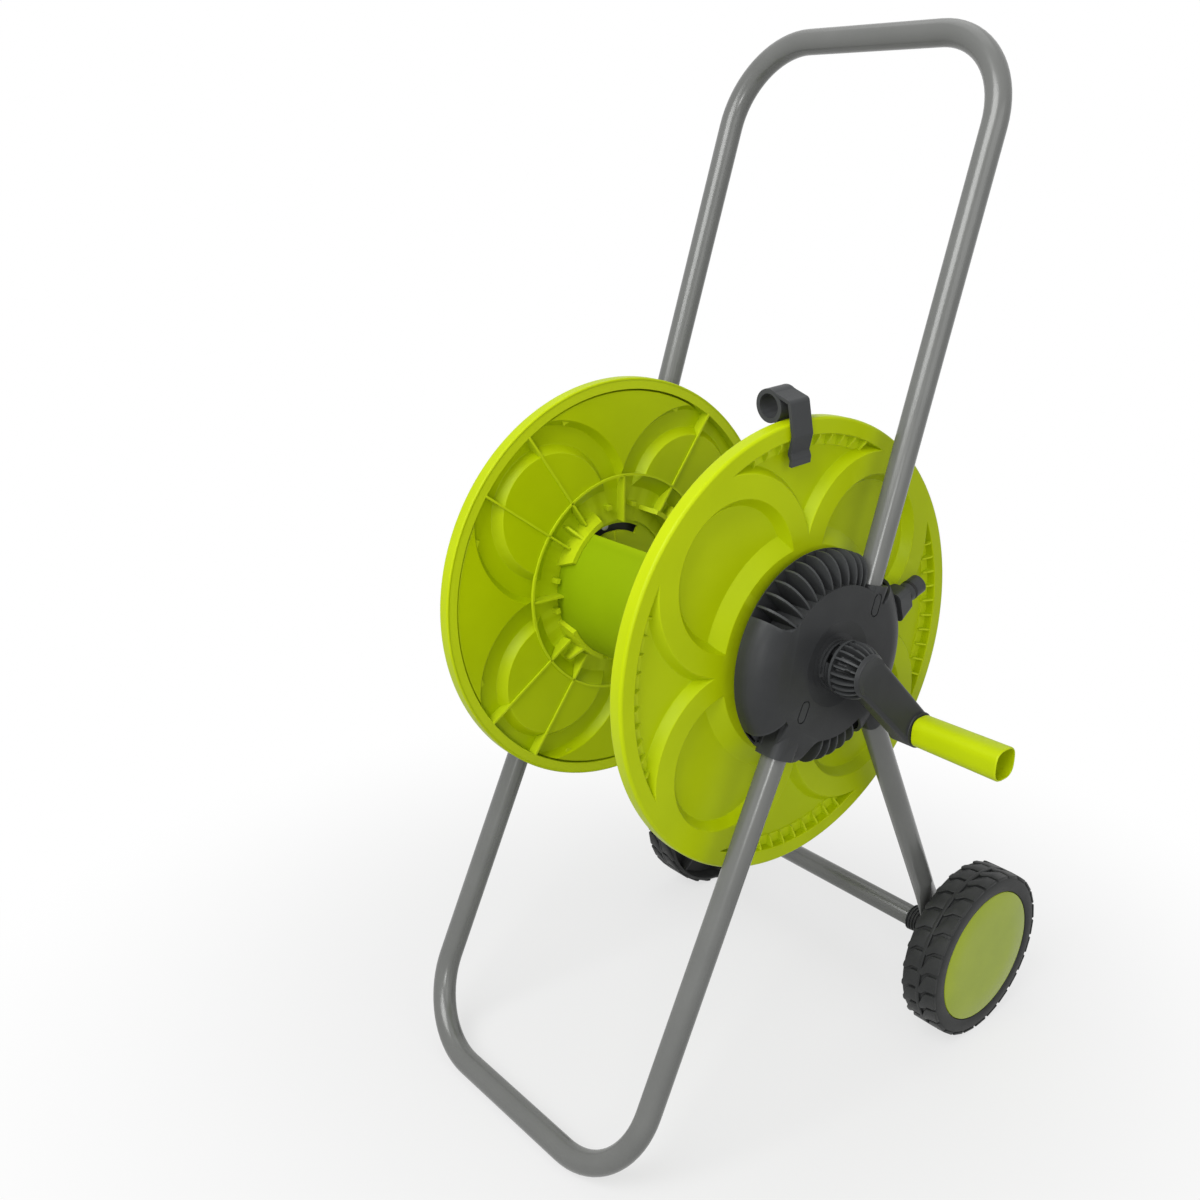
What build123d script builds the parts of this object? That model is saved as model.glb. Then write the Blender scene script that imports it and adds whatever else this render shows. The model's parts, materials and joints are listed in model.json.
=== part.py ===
from build123d import *
import os
from math import atan2, cos, degrees, radians, sin, tan

os.makedirs("parts", exist_ok=True)

# Frame: +X is the crank side, +Y the rear, +Z up, origin on the floor below the reel axis.
# Lengths in mm, angles in degrees counted from the rear upwards.

# Reel axis and steel tubes
AXIS_H = 405.0  # reel axis above the floor
TUBE_R = 10.0
TUBE_WALL = 1.2
TUBE_X = 138.5  # tube centre lines from the mid-plane
BEND_R = 70.0
HANDLE_Y = 29.0  # handle line at the height of the axis
HANDLE_LEAN = 17.24
HANDLE_RISE = 450.0  # push bar above the axis
HANDLE_END = 32.0  # lower end above the axis
STAND_Y = -21.9
STAND_LEAN = 24.07
STAND_END = 18.0  # upper end below the axis
LEG_Y = 28.2
LEG_END = 20.0
PRESS_W = 28.0  # flat pressed end of a rear leg
PRESS_T = 6.0
PRESS_LEN = 38.0
PRESS_BLEND = 40.0

# Clearances
RUN = 0.05  # running fit on the radius
SEAT = 0.05  # seated pieces
GAP = 0.3  # moulded pieces beside each other

# Axle and wheels
WHEEL_Y = 192.4  # axle behind the reel axis
WHEEL_R = 80.0
WHEEL_IN = 157.0  # inner edge of the tread
WHEEL_W = 38.0
WHEEL_HUB_IN = 142.5
WHEEL_HUB_R = 12.0
TREAD_WALL = 7.0
WEB_X = 173.0  # web between hub and tread
WEB_T = 3.0
WHEEL_RIBS = 8
LUGS = 26
LUG_GROOVE_W = 2.8
LUG_GROOVE_DEEP = 2.4
LUG_GROOVE_SLANT = 24.0
CAP_R = 63.5
CAP_T = 3.6
AXLE_R = 5.0
AXLE_TUBE_HALF = 98.0
BUSH_OUT = 135.5
BUSH_R = 12.5
BUSH_END_R = 8.5
BUSH_PLUG = 18.0
BUSH_GROOVES = 4
NUT_R = 9.0
NUT_T = 2.2

# Reel
FLANGE_R = 180.0
FLANGE_IN = 102.0
FLANGE_OUT = 114.0
WALL = 2.5
RIM_ROUND = 3.5
SUNK_DEPTH = 8.0
FIELD_R = 167.0  # outer edge of the sunk fields between the petals
PETALS = 4
PETAL_DIST = 102.0
PETAL_R = 75.0
PETAL_BAND = 18.0
FLANK = 32.0  # slope of the petals' outer flanks
DISH_FLANK = 36.9  # slope inside the petals
RING_R = 84.0
RING_FLANK = 58.4
LEDGE_IN = 157.0  # sloping ledge with a ladder of rungs beside the rim
LEDGE_H = 2.4
LEDGE_SPAN = 49.0
RUNGS = 10
RUNG_T = 1.3
RIB_T = 1.8
RIB_SPREAD = 10.0
RIB_IN = 72.0
RIB_OUT = 164.0
HOOP_R = 97.0
CUP_R = 55.0
CUP_DEPTH = 2.3
WINDOW_IN = 38.0
WINDOW_OUT = 52.0
WINDOW_SPAN = 58.0
HUB_R = 17.0
HUB_LEN = 12.0
DRUM_R = 66.0
DRUM_WALL = 3.0
DRUM_OPEN_FROM = -37.0  # open side of the drum, from angle to angle
DRUM_OPEN_TO = 127.0
DRUM_LIP = 5.0
DRUM_RIB_X = 37.0
CLAW_T = 4.2
CLAW_SPAN = 40.0

# Water way
SPINDLE_R = 12.0
SPINDLE_BORE = 7.0
SPINDLE_IN = 70.0
DRIVE_W = 15.0  # square that drives the spindle from the crank
DRIVE_LEN = 20.0
STUB_END = 147.5
SHOULDER_R = 18.0
SHOULDER_T = 4.0
SWIVEL_R = 20.0
SWIVEL_LEN = 19.5
CHAMBER_R = 16.0
CHAMBER_LEN = 8.0
SEAL_R = 1.25  # radius of the seal cord
INLET_ANGLE = 18.0
PIPE_R = 8.5
PIPE_BORE = 4.8
PIPE_OUT = 83.0
BASE_W = 25.0  # shoulder of the inlet outside the cover
BASE_LEN = 16.0
NIPPLE_R = 8.0
NECK_R = 6.4
NECK_LEN = 3.0
COLLAR_LEN = 5.0
SEAL_SLOT = 3.0
LAND_LEN = 10.0
OUTLET_ANGLE = 45.0
ELBOW_R = 15.6
ELBOW_LEN = 38.0
OUTLET_NECK = 26.0

# Side covers
COVER_R = 82.0
COVER_DRAFT = 2.0  # the open edge is that much smaller
COVER_IN = 122.0
COVER_OUT = 151.0
COVER_ROUND = 18.0
COVER_WALL = 2.5
FACE_RECESS_R = 34.0
FACE_RECESS = 1.2
BOSS_R = 18.0
BOSS_RISE = 2.0
FAN_IN = 61.0
FAN_FLOOR = 126.0
FAN_FROM = 37.0
FAN_TO = 153.0
FAN_CORNER = 14.0
BLADE_T = 1.6
BLADE_STEP = 8.0
BLADE_FROM = 67.0
BLADES = 11
LOW_FAN_FROM = -113.0
LOW_FAN_TO = -60.0
LOW_BLADE_FROM = -100.0
LOW_BLADES = 5
SOCKET_WALL = 2.2
SOCKET_ROUND = 7.0
STAND_SOCKET = 51.0  # length of the sockets along their tubes
LEG_SOCKET = 50.0
HANDLE_SOCKET = 22.0
TAB_LEN = 16.0
TAB_W = 7.0
TAB_SLIT = 1.2
PLATE_IN = 120.0
PLATE_T = 2.5
BEARING_R = 16.5
SCREW_DIST = 50.0
SCREW_ANGLES = (100.0, 170.0, 265.0, 356.0)
SCREW_R = 1.95
SCREW_LEN = 14.0
SCREW_HEAD_R = 3.6
SCREW_HEAD_T = 1.9
SCREW_BOSS_R = 4.2

# Crank and grip
CRANK_IN = 153.8
CRANK_OUT = 185.0
CRANK_HUB_R = 21.5
CRANK_NECK_R = 18.0
CRANK_BULGE_R = 20.2  # half way up the hub
CRANK_TOP_R = 15.0
CRANK_ANGLE = -46.0
CRANK_R = 76.0
ARM_W = 32.0
ARM_END_W = 29.0
ARM_T = 15.0
COLLAR_R = 14.5
COLLAR_OUT = 194.0
COLLAR_DEEP = 20.0
FIN_GAPS = 13
FIN_STEP = 16.5
FIN_T = 1.6
FIN_DEEP = 5.0
PEG_R = 6.5
PEG_LEN = 46.0
BARB_R = 7.3
BARB_LEN = 4.5
GRIP_IN_W = 24.0
GRIP_OUT_W = 25.4
GRIP_LEN = 78.0
GRIP_ROUND = 9.0
GRIP_WALL = 1.8

# Hose-end clip on the flange rim
CLIP_ANGLE = 95.7
CLIP_W = 20.0
CLIP_RING_R = 12.4
CLIP_HOLE_R = 9.0
CLIP_RING_X = 93.5
CLIP_RING_RISE = 9.5  # middle of the ring above the rim
CLIP_T = 2.6
CLIP_CORNER = 14.4  # corner of the strap above the rim
CLIP_BULGE = 2.9  # strap outside the flange's face
CLIP_DROP = 10.0
CLIP_FOOT = 22.5  # foot of the strap below the rim
CLIP_LEG = 8.0

# Sizes that follow
HANDLE_SLOPE = tan(radians(HANDLE_LEAN))
STAND_SLOPE = tan(radians(STAND_LEAN))
LEG_SLOPE = (LEG_Y - WHEEL_Y) / (AXIS_H - WHEEL_R)
SUNK_FLOOR = FLANGE_OUT - SUNK_DEPTH
RING_FLOOR = FLANGE_OUT - WALL  # inner face of the raised level
CUP_OUT = FLANGE_OUT + CUP_DEPTH
DRUM_HALF = RING_FLOOR - GAP
SWIVEL_IN = PLATE_IN + PLATE_T + 2.0
SWIVEL_OUT = SWIVEL_IN + SWIVEL_LEN
SWIVEL_MID = (SWIVEL_IN + SWIVEL_OUT) / 2
SEAL_RING = SPINDLE_R + RUN + SEAL_R
WHEEL_OUT = WHEEL_IN + WHEEL_W
NUT_IN = WEB_X + WEB_T + 5.0
AXLE_HALF = NUT_IN + NUT_T + 3.0
SOCKET_W = 2 * (TUBE_R + SOCKET_WALL)
COVER_EDGE_R = COVER_R - COVER_DRAFT
PLATE_R = COVER_EDGE_R - COVER_WALL - GAP
PIVOT_Y = CRANK_R * cos(radians(CRANK_ANGLE))
PIVOT_Z = AXIS_H + CRANK_R * sin(radians(CRANK_ANGLE))
GRIP_IN = COLLAR_OUT + GAP
REEL_AXIS = Axis((0, 0, AXIS_H), (1, 0, 0))
WHEEL_AXIS = Axis((0, WHEEL_Y, WHEEL_R), (1, 0, 0))


def side_plane(x, y=0.0, z=AXIS_H):
    """Plane square to the reel axis: local X to the rear, local Y up."""
    return Plane(origin=(x, y, z), x_dir=(0, 1, 0), z_dir=(1, 0, 0))


def radial_plane(angle, y=0.0, z=AXIS_H):
    """Plane through an axis along X: local X along it, local Y out at the angle."""
    turn = radians(angle)
    return Plane(origin=(0, y, z), x_dir=(1, 0, 0), z_dir=(0, -sin(turn), cos(turn)))


def spoke_plane(angle, x, r, y=0.0, z=AXIS_H):
    """Plane square to a radius at distance r: local X along the axis, normal outwards."""
    out = (0, cos(radians(angle)), sin(radians(angle)))
    return Plane(origin=(x, y + r * out[1], z + r * out[2]), x_dir=(1, 0, 0), z_dir=out)


def tube_plane(rise, y, slope, down):
    """Plane square to a leaning tube at a height above the axis, normal along the tube."""
    sign = -1 if down else 1
    along = (0, sign * slope, sign)
    return Plane(origin=(TUBE_X, y + slope * rise, AXIS_H + rise), x_dir=(1, 0, 0), z_dir=along)


def band(r_in, r_out, start, sweep_angle):
    """Face between two radii over an angle."""
    with BuildSketch() as face:
        with BuildLine():
            outer = CenterArc((0, 0), r_out, start, sweep_angle)
            inner = CenterArc((0, 0), r_in, start, sweep_angle)
            Line(outer @ 0, inner @ 0)
            Line(outer @ 1, inner @ 1)
        make_face()
    return face.sketch


def mirrored(piece):
    """The same piece for the other side of the cart."""
    with BuildPart() as other:
        mirror(piece.part, about=Plane.YZ)
    return other


# Frame tubes


def bent_tube(end, bar):
    """U tube bent from one length, from its two ends (y, z) to the cross bar (y, z)."""
    with BuildPart() as tube:
        with BuildLine() as path:
            FilletPolyline((TUBE_X, *end), (TUBE_X, *bar), (-TUBE_X, *bar), (-TUBE_X, *end), radius=BEND_R)
        with BuildSketch(Plane(origin=path.line @ 0, z_dir=path.line % 0)):
            Circle(TUBE_R)
            Circle(TUBE_R - TUBE_WALL, mode=Mode.SUBTRACT)
        sweep()
    return tube


def on_line(y, slope, rise):
    """Point (y, z) of a leaning tube at a height above the axis."""
    return (y + slope * rise, AXIS_H + rise)


handle_tube = bent_tube(on_line(HANDLE_Y, HANDLE_SLOPE, HANDLE_END), on_line(HANDLE_Y, HANDLE_SLOPE, HANDLE_RISE))
stand_tube = bent_tube(
    on_line(STAND_Y, STAND_SLOPE, -STAND_END), on_line(STAND_Y, STAND_SLOPE, TUBE_R - AXIS_H)
)

leg_len = (AXIS_H - LEG_END - WHEEL_R) * (1 + LEG_SLOPE**2) ** 0.5
leg_round = leg_len - PRESS_LEN - PRESS_BLEND
leg_top = tube_plane(-LEG_END, LEG_Y, LEG_SLOPE, True)
with BuildPart() as left_leg:
    with BuildSketch(leg_top):
        Circle(TUBE_R)
    extrude(amount=leg_round)
    # the round tube flows into the pressed end
    with BuildSketch(leg_top.offset(leg_round)):
        Circle(TUBE_R)
    with BuildSketch(leg_top.offset(leg_round + PRESS_BLEND)):
        Ellipse(PRESS_T / 2, PRESS_W / 2)
    loft()
    with BuildSketch(leg_top.offset(leg_round + PRESS_BLEND)):
        Ellipse(PRESS_T / 2, PRESS_W / 2)
    extrude(amount=PRESS_LEN)
    with BuildSketch(side_plane(TUBE_X, WHEEL_Y, WHEEL_R)):
        Circle(PRESS_W / 2)
    extrude(amount=PRESS_T / 2 - 0.6, both=True)
    with BuildSketch(leg_top):
        Circle(TUBE_R - TUBE_WALL)
    extrude(amount=leg_round, mode=Mode.SUBTRACT)
    with BuildSketch(side_plane(TUBE_X, WHEEL_Y, WHEEL_R)):
        Circle(AXLE_R + SEAT)
    extrude(amount=PRESS_W, both=True, mode=Mode.SUBTRACT)
right_leg = mirrored(left_leg)

# Axle

with BuildPart() as axle_tube:
    with BuildSketch(side_plane(0, WHEEL_Y, WHEEL_R)):
        Circle(TUBE_R)
        Circle(TUBE_R - TUBE_WALL, mode=Mode.SUBTRACT)
    extrude(amount=AXLE_TUBE_HALF, both=True)

with BuildPart() as axle_rod:
    with BuildSketch(side_plane(0, WHEEL_Y, WHEEL_R)):
        Circle(AXLE_R)
    extrude(amount=AXLE_HALF, both=True)
    chamfer(axle_rod.edges().group_by(Axis.X)[0] + axle_rod.edges().group_by(Axis.X)[-1], 0.8)

bush_pitch = (BUSH_OUT - AXLE_TUBE_HALF) / (BUSH_GROOVES + 1)
with BuildPart() as left_axle_bush:
    with BuildSketch(radial_plane(90, WHEEL_Y, WHEEL_R)):
        with BuildLine():
            Polyline(
                (AXLE_TUBE_HALF - BUSH_PLUG, AXLE_R + SEAT),
                (AXLE_TUBE_HALF - BUSH_PLUG, TUBE_R - TUBE_WALL - SEAT),
                (AXLE_TUBE_HALF + SEAT, TUBE_R - TUBE_WALL - SEAT),
                (AXLE_TUBE_HALF + SEAT, BUSH_R),
                (BUSH_OUT - bush_pitch, BUSH_R - 1.5),
                (BUSH_OUT, BUSH_END_R),
                (BUSH_OUT, AXLE_R + SEAT),
                close=True,
            )
        make_face()
    revolve(axis=WHEEL_AXIS)
    with BuildSketch(radial_plane(90, WHEEL_Y, WHEEL_R)):
        for step in range(BUSH_GROOVES):
            with Locations((AXLE_TUBE_HALF + bush_pitch * (step + 0.8), BUSH_R)):
                Rectangle(bush_pitch * 0.45, 3.2)
    revolve(axis=WHEEL_AXIS, mode=Mode.SUBTRACT)
right_axle_bush = mirrored(left_axle_bush)

with BuildPart() as axle_push_nuts:
    for end_x in (NUT_IN, -NUT_IN - NUT_T):
        with BuildSketch(side_plane(end_x, WHEEL_Y, WHEEL_R)):
            Circle(NUT_R)
            Circle(AXLE_R + SEAT, mode=Mode.SUBTRACT)
        extrude(amount=NUT_T)

# Wheels

tread_in_r = WHEEL_R - TREAD_WALL
cap_seat_x = WHEEL_OUT - CAP_T - 0.4
with BuildPart() as left_wheel:
    with BuildSketch(radial_plane(90, WHEEL_Y, WHEEL_R)) as wheel_face:
        with BuildLine():
            Polyline(
                (WHEEL_HUB_IN, AXLE_R + RUN),
                (WHEEL_HUB_IN, WHEEL_HUB_R - 3),
                (WEB_X - 12, WHEEL_HUB_R),
                (WEB_X, WHEEL_HUB_R),
                (WEB_X, tread_in_r),
                (WHEEL_IN, tread_in_r + 1.5),
                (WHEEL_IN, WHEEL_R),
                (WHEEL_OUT, WHEEL_R),
                (WHEEL_OUT, CAP_R + GAP),
                (cap_seat_x, CAP_R + GAP),
                (cap_seat_x, CAP_R - 4),
                (WEB_X + WEB_T, CAP_R - 4),
                (WEB_X + WEB_T, WHEEL_HUB_R),
                (NUT_IN - 0.5, WHEEL_HUB_R),
                (NUT_IN - 0.5, AXLE_R + RUN),
                close=True,
            )
        make_face()
        fillet(wheel_face.vertices().group_by(Axis.Y)[-1], 3.0)
    revolve(axis=WHEEL_AXIS)
    # ribs between hub and tread on the open inner side
    with BuildSketch(side_plane(WHEEL_IN + 4, WHEEL_Y, WHEEL_R)):
        with PolarLocations((WHEEL_HUB_R + tread_in_r) / 2, WHEEL_RIBS):
            Rectangle(tread_in_r - WHEEL_HUB_R + 2, 2.2)
    extrude(amount=WEB_X - WHEEL_IN)

with BuildPart() as tread_grooves:
    for row, start_x in enumerate((WHEEL_IN, WHEEL_OUT)):
        slant = LUG_GROOVE_SLANT if row else -LUG_GROOVE_SLANT
        for lug in range(LUGS):
            lug_angle = (lug + row / 2) * 360 / LUGS
            with BuildSketch(spoke_plane(lug_angle, start_x, WHEEL_R + 1, WHEEL_Y, WHEEL_R)):
                Rectangle(WHEEL_W * 0.86, LUG_GROOVE_W, rotation=slant)
            extrude(amount=-LUG_GROOVE_DEEP - 1)
with left_wheel:
    add(tread_grooves.part, mode=Mode.SUBTRACT)
right_wheel = mirrored(left_wheel)

with BuildPart() as left_wheel_cap:
    with BuildSketch(radial_plane(90, WHEEL_Y, WHEEL_R)) as cap_face:
        with BuildLine():
            Polyline(
                (cap_seat_x, 0),
                (cap_seat_x, CAP_R),
                (cap_seat_x + CAP_T, CAP_R),
                (cap_seat_x + CAP_T, CAP_R - 5),
                (cap_seat_x + CAP_T - 0.9, CAP_R - 7),
                (cap_seat_x + CAP_T, 0),
                close=True,
            )
        make_face()
    revolve(axis=WHEEL_AXIS)
right_wheel_cap = mirrored(left_wheel_cap)

# Reel flanges


def sunk_areas(grow):
    """Sunk areas of a flange's outer face, grown all round by a wall."""
    depth = SUNK_DEPTH + grow
    floor_x = FLANGE_OUT - depth
    shift = grow * 1.2  # the same wall measured along the radius
    with BuildPart() as sunk:
        # fields between the petals
        with BuildSketch(side_plane(floor_x)):
            Circle(FIELD_R + grow)
            Circle(RING_R, mode=Mode.SUBTRACT)
        extrude(amount=depth)
        for petal in range(PETALS):
            with BuildSketch(side_plane(floor_x)):
                with PolarLocations(PETAL_DIST, 1, start_angle=(petal + 0.5) * 360 / PETALS):
                    Circle(PETAL_R - shift + depth * tan(radians(FLANK)))
            extrude(amount=depth, taper=FLANK, mode=Mode.SUBTRACT)
    with BuildPart() as dishes:
        # dished middles of the petals
        for petal in range(PETALS):
            with BuildSketch(side_plane(floor_x)):
                with PolarLocations(PETAL_DIST, 1, start_angle=(petal + 0.5) * 360 / PETALS):
                    Circle(PETAL_R - PETAL_BAND + shift - depth * tan(radians(DISH_FLANK)))
            extrude(amount=depth, taper=-DISH_FLANK)
        ring_r = RING_R - shift
        with BuildSketch(radial_plane(90)):
            with BuildLine():
                Polyline(
                    (floor_x, 0),
                    (floor_x, ring_r + depth * tan(radians(RING_FLANK))),
                    (FLANGE_OUT, ring_r),
                    (FLANGE_OUT, 0),
                    close=True,
                )
            make_face()
        revolve(axis=REEL_AXIS, mode=Mode.SUBTRACT)
    with sunk:
        add(dishes.part)
    return sunk.part


with BuildPart() as flange_hollow:
    with BuildSketch(side_plane(FLANGE_IN)):
        Circle(FLANGE_R - WALL)
    extrude(amount=RING_FLOOR - FLANGE_IN)
    add(sunk_areas(WALL), mode=Mode.SUBTRACT)

with BuildPart() as left_flange:
    with BuildSketch(side_plane(FLANGE_IN)):
        Circle(FLANGE_R)
    extrude(amount=FLANGE_OUT - FLANGE_IN)
    fillet(left_flange.edges().group_by(Axis.X)[-1], RIM_ROUND)
    fillet(left_flange.edges().group_by(Axis.X)[0], 1.0)
    add(flange_hollow.part, mode=Mode.SUBTRACT)
    # ribs of the inner side
    with BuildSketch(side_plane(FLANGE_IN)):
        Circle(HOOP_R + RIB_T / 2)
        Circle(HOOP_R - RIB_T / 2, mode=Mode.SUBTRACT)
        with PolarLocations((CUP_R + HOOP_R) / 2, PETALS):
            Rectangle(HOOP_R - CUP_R, RIB_T)
        for side in (-RIB_SPREAD, RIB_SPREAD):
            with PolarLocations((RIB_IN + RIB_OUT) / 2, PETALS, start_angle=180 / PETALS + side):
                Rectangle(RIB_OUT - RIB_IN, RIB_T)
    extrude(amount=RING_FLOOR - FLANGE_IN + 0.5)
    add(sunk_areas(0), mode=Mode.SUBTRACT)
    # space for the drum's end inside the claws
    with BuildSketch(side_plane(FLANGE_IN)):
        Circle(DRUM_R + GAP + CLAW_T)
    extrude(amount=RING_FLOOR - FLANGE_IN, mode=Mode.SUBTRACT)
    # ledges with their rungs beside the rim
    for quarter in range(PETALS):
        ledge_start = quarter * 360 / PETALS - LEDGE_SPAN / 2
        with BuildSketch(radial_plane(ledge_start)):
            with BuildLine():
                Polyline(
                    (SUNK_FLOOR - 1, LEDGE_IN),
                    (SUNK_FLOOR + LEDGE_H, LEDGE_IN + 1),
                    (SUNK_FLOOR + 0.2, FIELD_R + 1.5),
                    (SUNK_FLOOR - 1, FIELD_R + 1.5),
                    close=True,
                )
            make_face()
        revolve(axis=REEL_AXIS, revolution_arc=LEDGE_SPAN)
        with BuildSketch(side_plane(SUNK_FLOOR - 0.7)):
            rung_mid = (LEDGE_IN + FIELD_R) / 2 + 1.5
            with PolarLocations(rung_mid, RUNGS, ledge_start + 2, LEDGE_SPAN - 4, endpoint=True):
                Rectangle(FIELD_R - LEDGE_IN - 1, RUNG_T)
        extrude(amount=LEDGE_H + 0.3)
    # claws that hold the drum
    with BuildSketch(side_plane(FLANGE_IN)):
        for petal in range(PETALS):
            claw_start = (petal + 0.5) * 360 / PETALS - CLAW_SPAN / 2
            add(band(DRUM_R + GAP, DRUM_R + GAP + CLAW_T, claw_start, CLAW_SPAN))
    extrude(amount=RING_FLOOR - FLANGE_IN)
    # cup, hub and windows round the spindle
    with BuildSketch(side_plane(RING_FLOOR)):
        Circle(CUP_R + WALL)
    extrude(amount=CUP_OUT - RING_FLOOR)
    with BuildSketch(side_plane(RING_FLOOR)):
        Circle(CUP_R)
    extrude(amount=CUP_OUT - RING_FLOOR - WALL, mode=Mode.SUBTRACT)
    with BuildSketch(side_plane(CUP_OUT - HUB_LEN)):
        Circle(HUB_R)
    extrude(amount=HUB_LEN)
    with BuildSketch(side_plane(CUP_OUT - HUB_LEN)):
        Circle(SPINDLE_R + SEAT)
    extrude(amount=HUB_LEN, mode=Mode.SUBTRACT)
    with BuildSketch(side_plane(RING_FLOOR)):
        for quarter in range(PETALS):
            window_start = quarter * 360 / PETALS - WINDOW_SPAN / 2
            add(band(WINDOW_IN, WINDOW_OUT, window_start, WINDOW_SPAN))
    extrude(amount=CUP_OUT - RING_FLOOR, mode=Mode.SUBTRACT)
right_flange = mirrored(left_flange)

# Drum, open on one side so that the hose can be joined to its outlet

drum_span = 360 - (DRUM_OPEN_TO - DRUM_OPEN_FROM)
with BuildPart() as drum:
    with BuildSketch(side_plane(-DRUM_HALF)):
        add(band(DRUM_R - DRUM_WALL, DRUM_R, DRUM_OPEN_TO, drum_span))
        for edge_angle, turn in ((DRUM_OPEN_TO, 4), (DRUM_OPEN_FROM, -4)):
            add(band(DRUM_R - DRUM_LIP - DRUM_WALL, DRUM_R - 1, edge_angle, turn))
    extrude(amount=2 * DRUM_HALF)
    for rib_x in (-DRUM_RIB_X, DRUM_RIB_X):
        with BuildSketch(side_plane(rib_x - RIB_T / 2)):
            add(band(DRUM_R - DRUM_LIP - DRUM_WALL, DRUM_R - 1, DRUM_OPEN_TO, drum_span))
        extrude(amount=RIB_T)

# Water spindle, far stub and outlet

drive_in = COVER_OUT + BOSS_RISE
with BuildPart() as water_spindle:
    with BuildSketch(side_plane(SPINDLE_IN)):
        Circle(SPINDLE_R)
    extrude(amount=drive_in - SPINDLE_IN)
    with BuildSketch(side_plane(CUP_OUT - HUB_LEN - SHOULDER_T)):
        Circle(SHOULDER_R)
    extrude(amount=SHOULDER_T)
    with BuildSketch(side_plane(drive_in)):
        RectangleRounded(DRIVE_W, DRIVE_W, 1.0)
    extrude(amount=DRIVE_LEN)
    with BuildSketch(side_plane(SPINDLE_IN)):
        Circle(SPINDLE_BORE)
    extrude(amount=SWIVEL_OUT - SPINDLE_IN - 4, mode=Mode.SUBTRACT)
    # water enters from the swivel's chamber
    with BuildSketch(Plane(origin=(SWIVEL_MID, 0, AXIS_H), z_dir=(0, 0, 1))):
        Circle(CHAMBER_LEN * 0.45)
    extrude(amount=SPINDLE_R + 1, both=True, mode=Mode.SUBTRACT)

with BuildPart() as right_stub:
    with BuildSketch(side_plane(-STUB_END)):
        Circle(SPINDLE_R)
    extrude(amount=STUB_END - CUP_OUT + HUB_LEN + SHOULDER_T)
    with BuildSketch(side_plane(-CUP_OUT + HUB_LEN)):
        Circle(SHOULDER_R)
    extrude(amount=SHOULDER_T)
    chamfer(right_stub.edges().group_by(Axis.X)[0], 1.0)


def nipple(plane):
    """Male quick connector standing on a plane: neck, collar, seal slot and end land."""
    with BuildPart() as piece:
        with BuildSketch(plane):
            Circle(NECK_R)
        extrude(amount=NECK_LEN + COLLAR_LEN + SEAL_SLOT + LAND_LEN)
        with BuildSketch(plane.offset(NECK_LEN)):
            Circle(NIPPLE_R)
        extrude(amount=COLLAR_LEN)
        with BuildSketch(plane.offset(NECK_LEN + COLLAR_LEN + SEAL_SLOT)):
            Circle(NIPPLE_R)
        extrude(amount=LAND_LEN)
    return piece.part


elbow_in = SPINDLE_IN - ELBOW_LEN / 2
outlet_mid = SPINDLE_IN - ELBOW_LEN / 4
outlet_plane = spoke_plane(OUTLET_ANGLE, outlet_mid, OUTLET_NECK)
with BuildPart() as hose_outlet:
    with BuildSketch(side_plane(elbow_in)):
        Circle(ELBOW_R)
    extrude(amount=ELBOW_LEN)
    with BuildSketch(spoke_plane(OUTLET_ANGLE, outlet_mid, 0)):
        Circle(PIPE_R)
    extrude(amount=OUTLET_NECK)
    add(nipple(outlet_plane))
    with BuildSketch(side_plane(SPINDLE_IN)):
        Circle(SPINDLE_R + SEAT)
    extrude(amount=ELBOW_LEN, mode=Mode.SUBTRACT)
    with BuildSketch(side_plane(elbow_in + WALL)):
        Circle(SPINDLE_BORE)
    extrude(amount=ELBOW_LEN, mode=Mode.SUBTRACT)
    with BuildSketch(spoke_plane(OUTLET_ANGLE, outlet_mid, 0)):
        Circle(PIPE_BORE)
    extrude(amount=3 * OUTLET_NECK, mode=Mode.SUBTRACT)

with BuildPart() as inlet_swivel:
    with BuildSketch(side_plane(SWIVEL_IN)):
        Circle(SWIVEL_R)
    extrude(amount=SWIVEL_LEN)
    with BuildSketch(spoke_plane(INLET_ANGLE, SWIVEL_MID, SWIVEL_R - 3)):
        Circle(PIPE_R)
    extrude(amount=PIPE_OUT - SWIVEL_R + 3)
    # square shoulder outside the cover, drawn in to the neck
    with BuildSketch(spoke_plane(INLET_ANGLE, SWIVEL_MID, PIPE_OUT)):
        RectangleRounded(BASE_W, BASE_W, 5)
    with BuildSketch(spoke_plane(INLET_ANGLE, SWIVEL_MID, PIPE_OUT + BASE_LEN)):
        RectangleRounded(BASE_W * 0.8, BASE_W * 0.8, 5)
    loft()
    add(nipple(spoke_plane(INLET_ANGLE, SWIVEL_MID, PIPE_OUT + BASE_LEN)))
    with BuildSketch(side_plane(SWIVEL_IN)):
        Circle(SPINDLE_R + RUN)
    extrude(amount=SWIVEL_LEN, mode=Mode.SUBTRACT)
    with BuildSketch(side_plane(SWIVEL_MID - CHAMBER_LEN / 2)):
        Circle(CHAMBER_R)
    extrude(amount=CHAMBER_LEN, mode=Mode.SUBTRACT)
    for seal_x in (SWIVEL_IN + 2.5, SWIVEL_OUT - 2.5):
        with BuildSketch(side_plane(seal_x - SEAL_R - SEAT)):
            Circle(SEAL_RING + SEAL_R + SEAT)
        extrude(amount=2 * (SEAL_R + SEAT), mode=Mode.SUBTRACT)
    with BuildSketch(spoke_plane(INLET_ANGLE, SWIVEL_MID, SPINDLE_R)):
        Circle(PIPE_BORE)
    extrude(amount=2 * PIPE_OUT, mode=Mode.SUBTRACT)

with BuildPart() as spindle_seals:
    for seal_x in (SWIVEL_IN + 2.5, SWIVEL_OUT - 2.5):
        with BuildSketch(radial_plane(90)):
            with Locations((seal_x, SEAL_RING)):
                Circle(SEAL_R)
        revolve(axis=REEL_AXIS)

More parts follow.
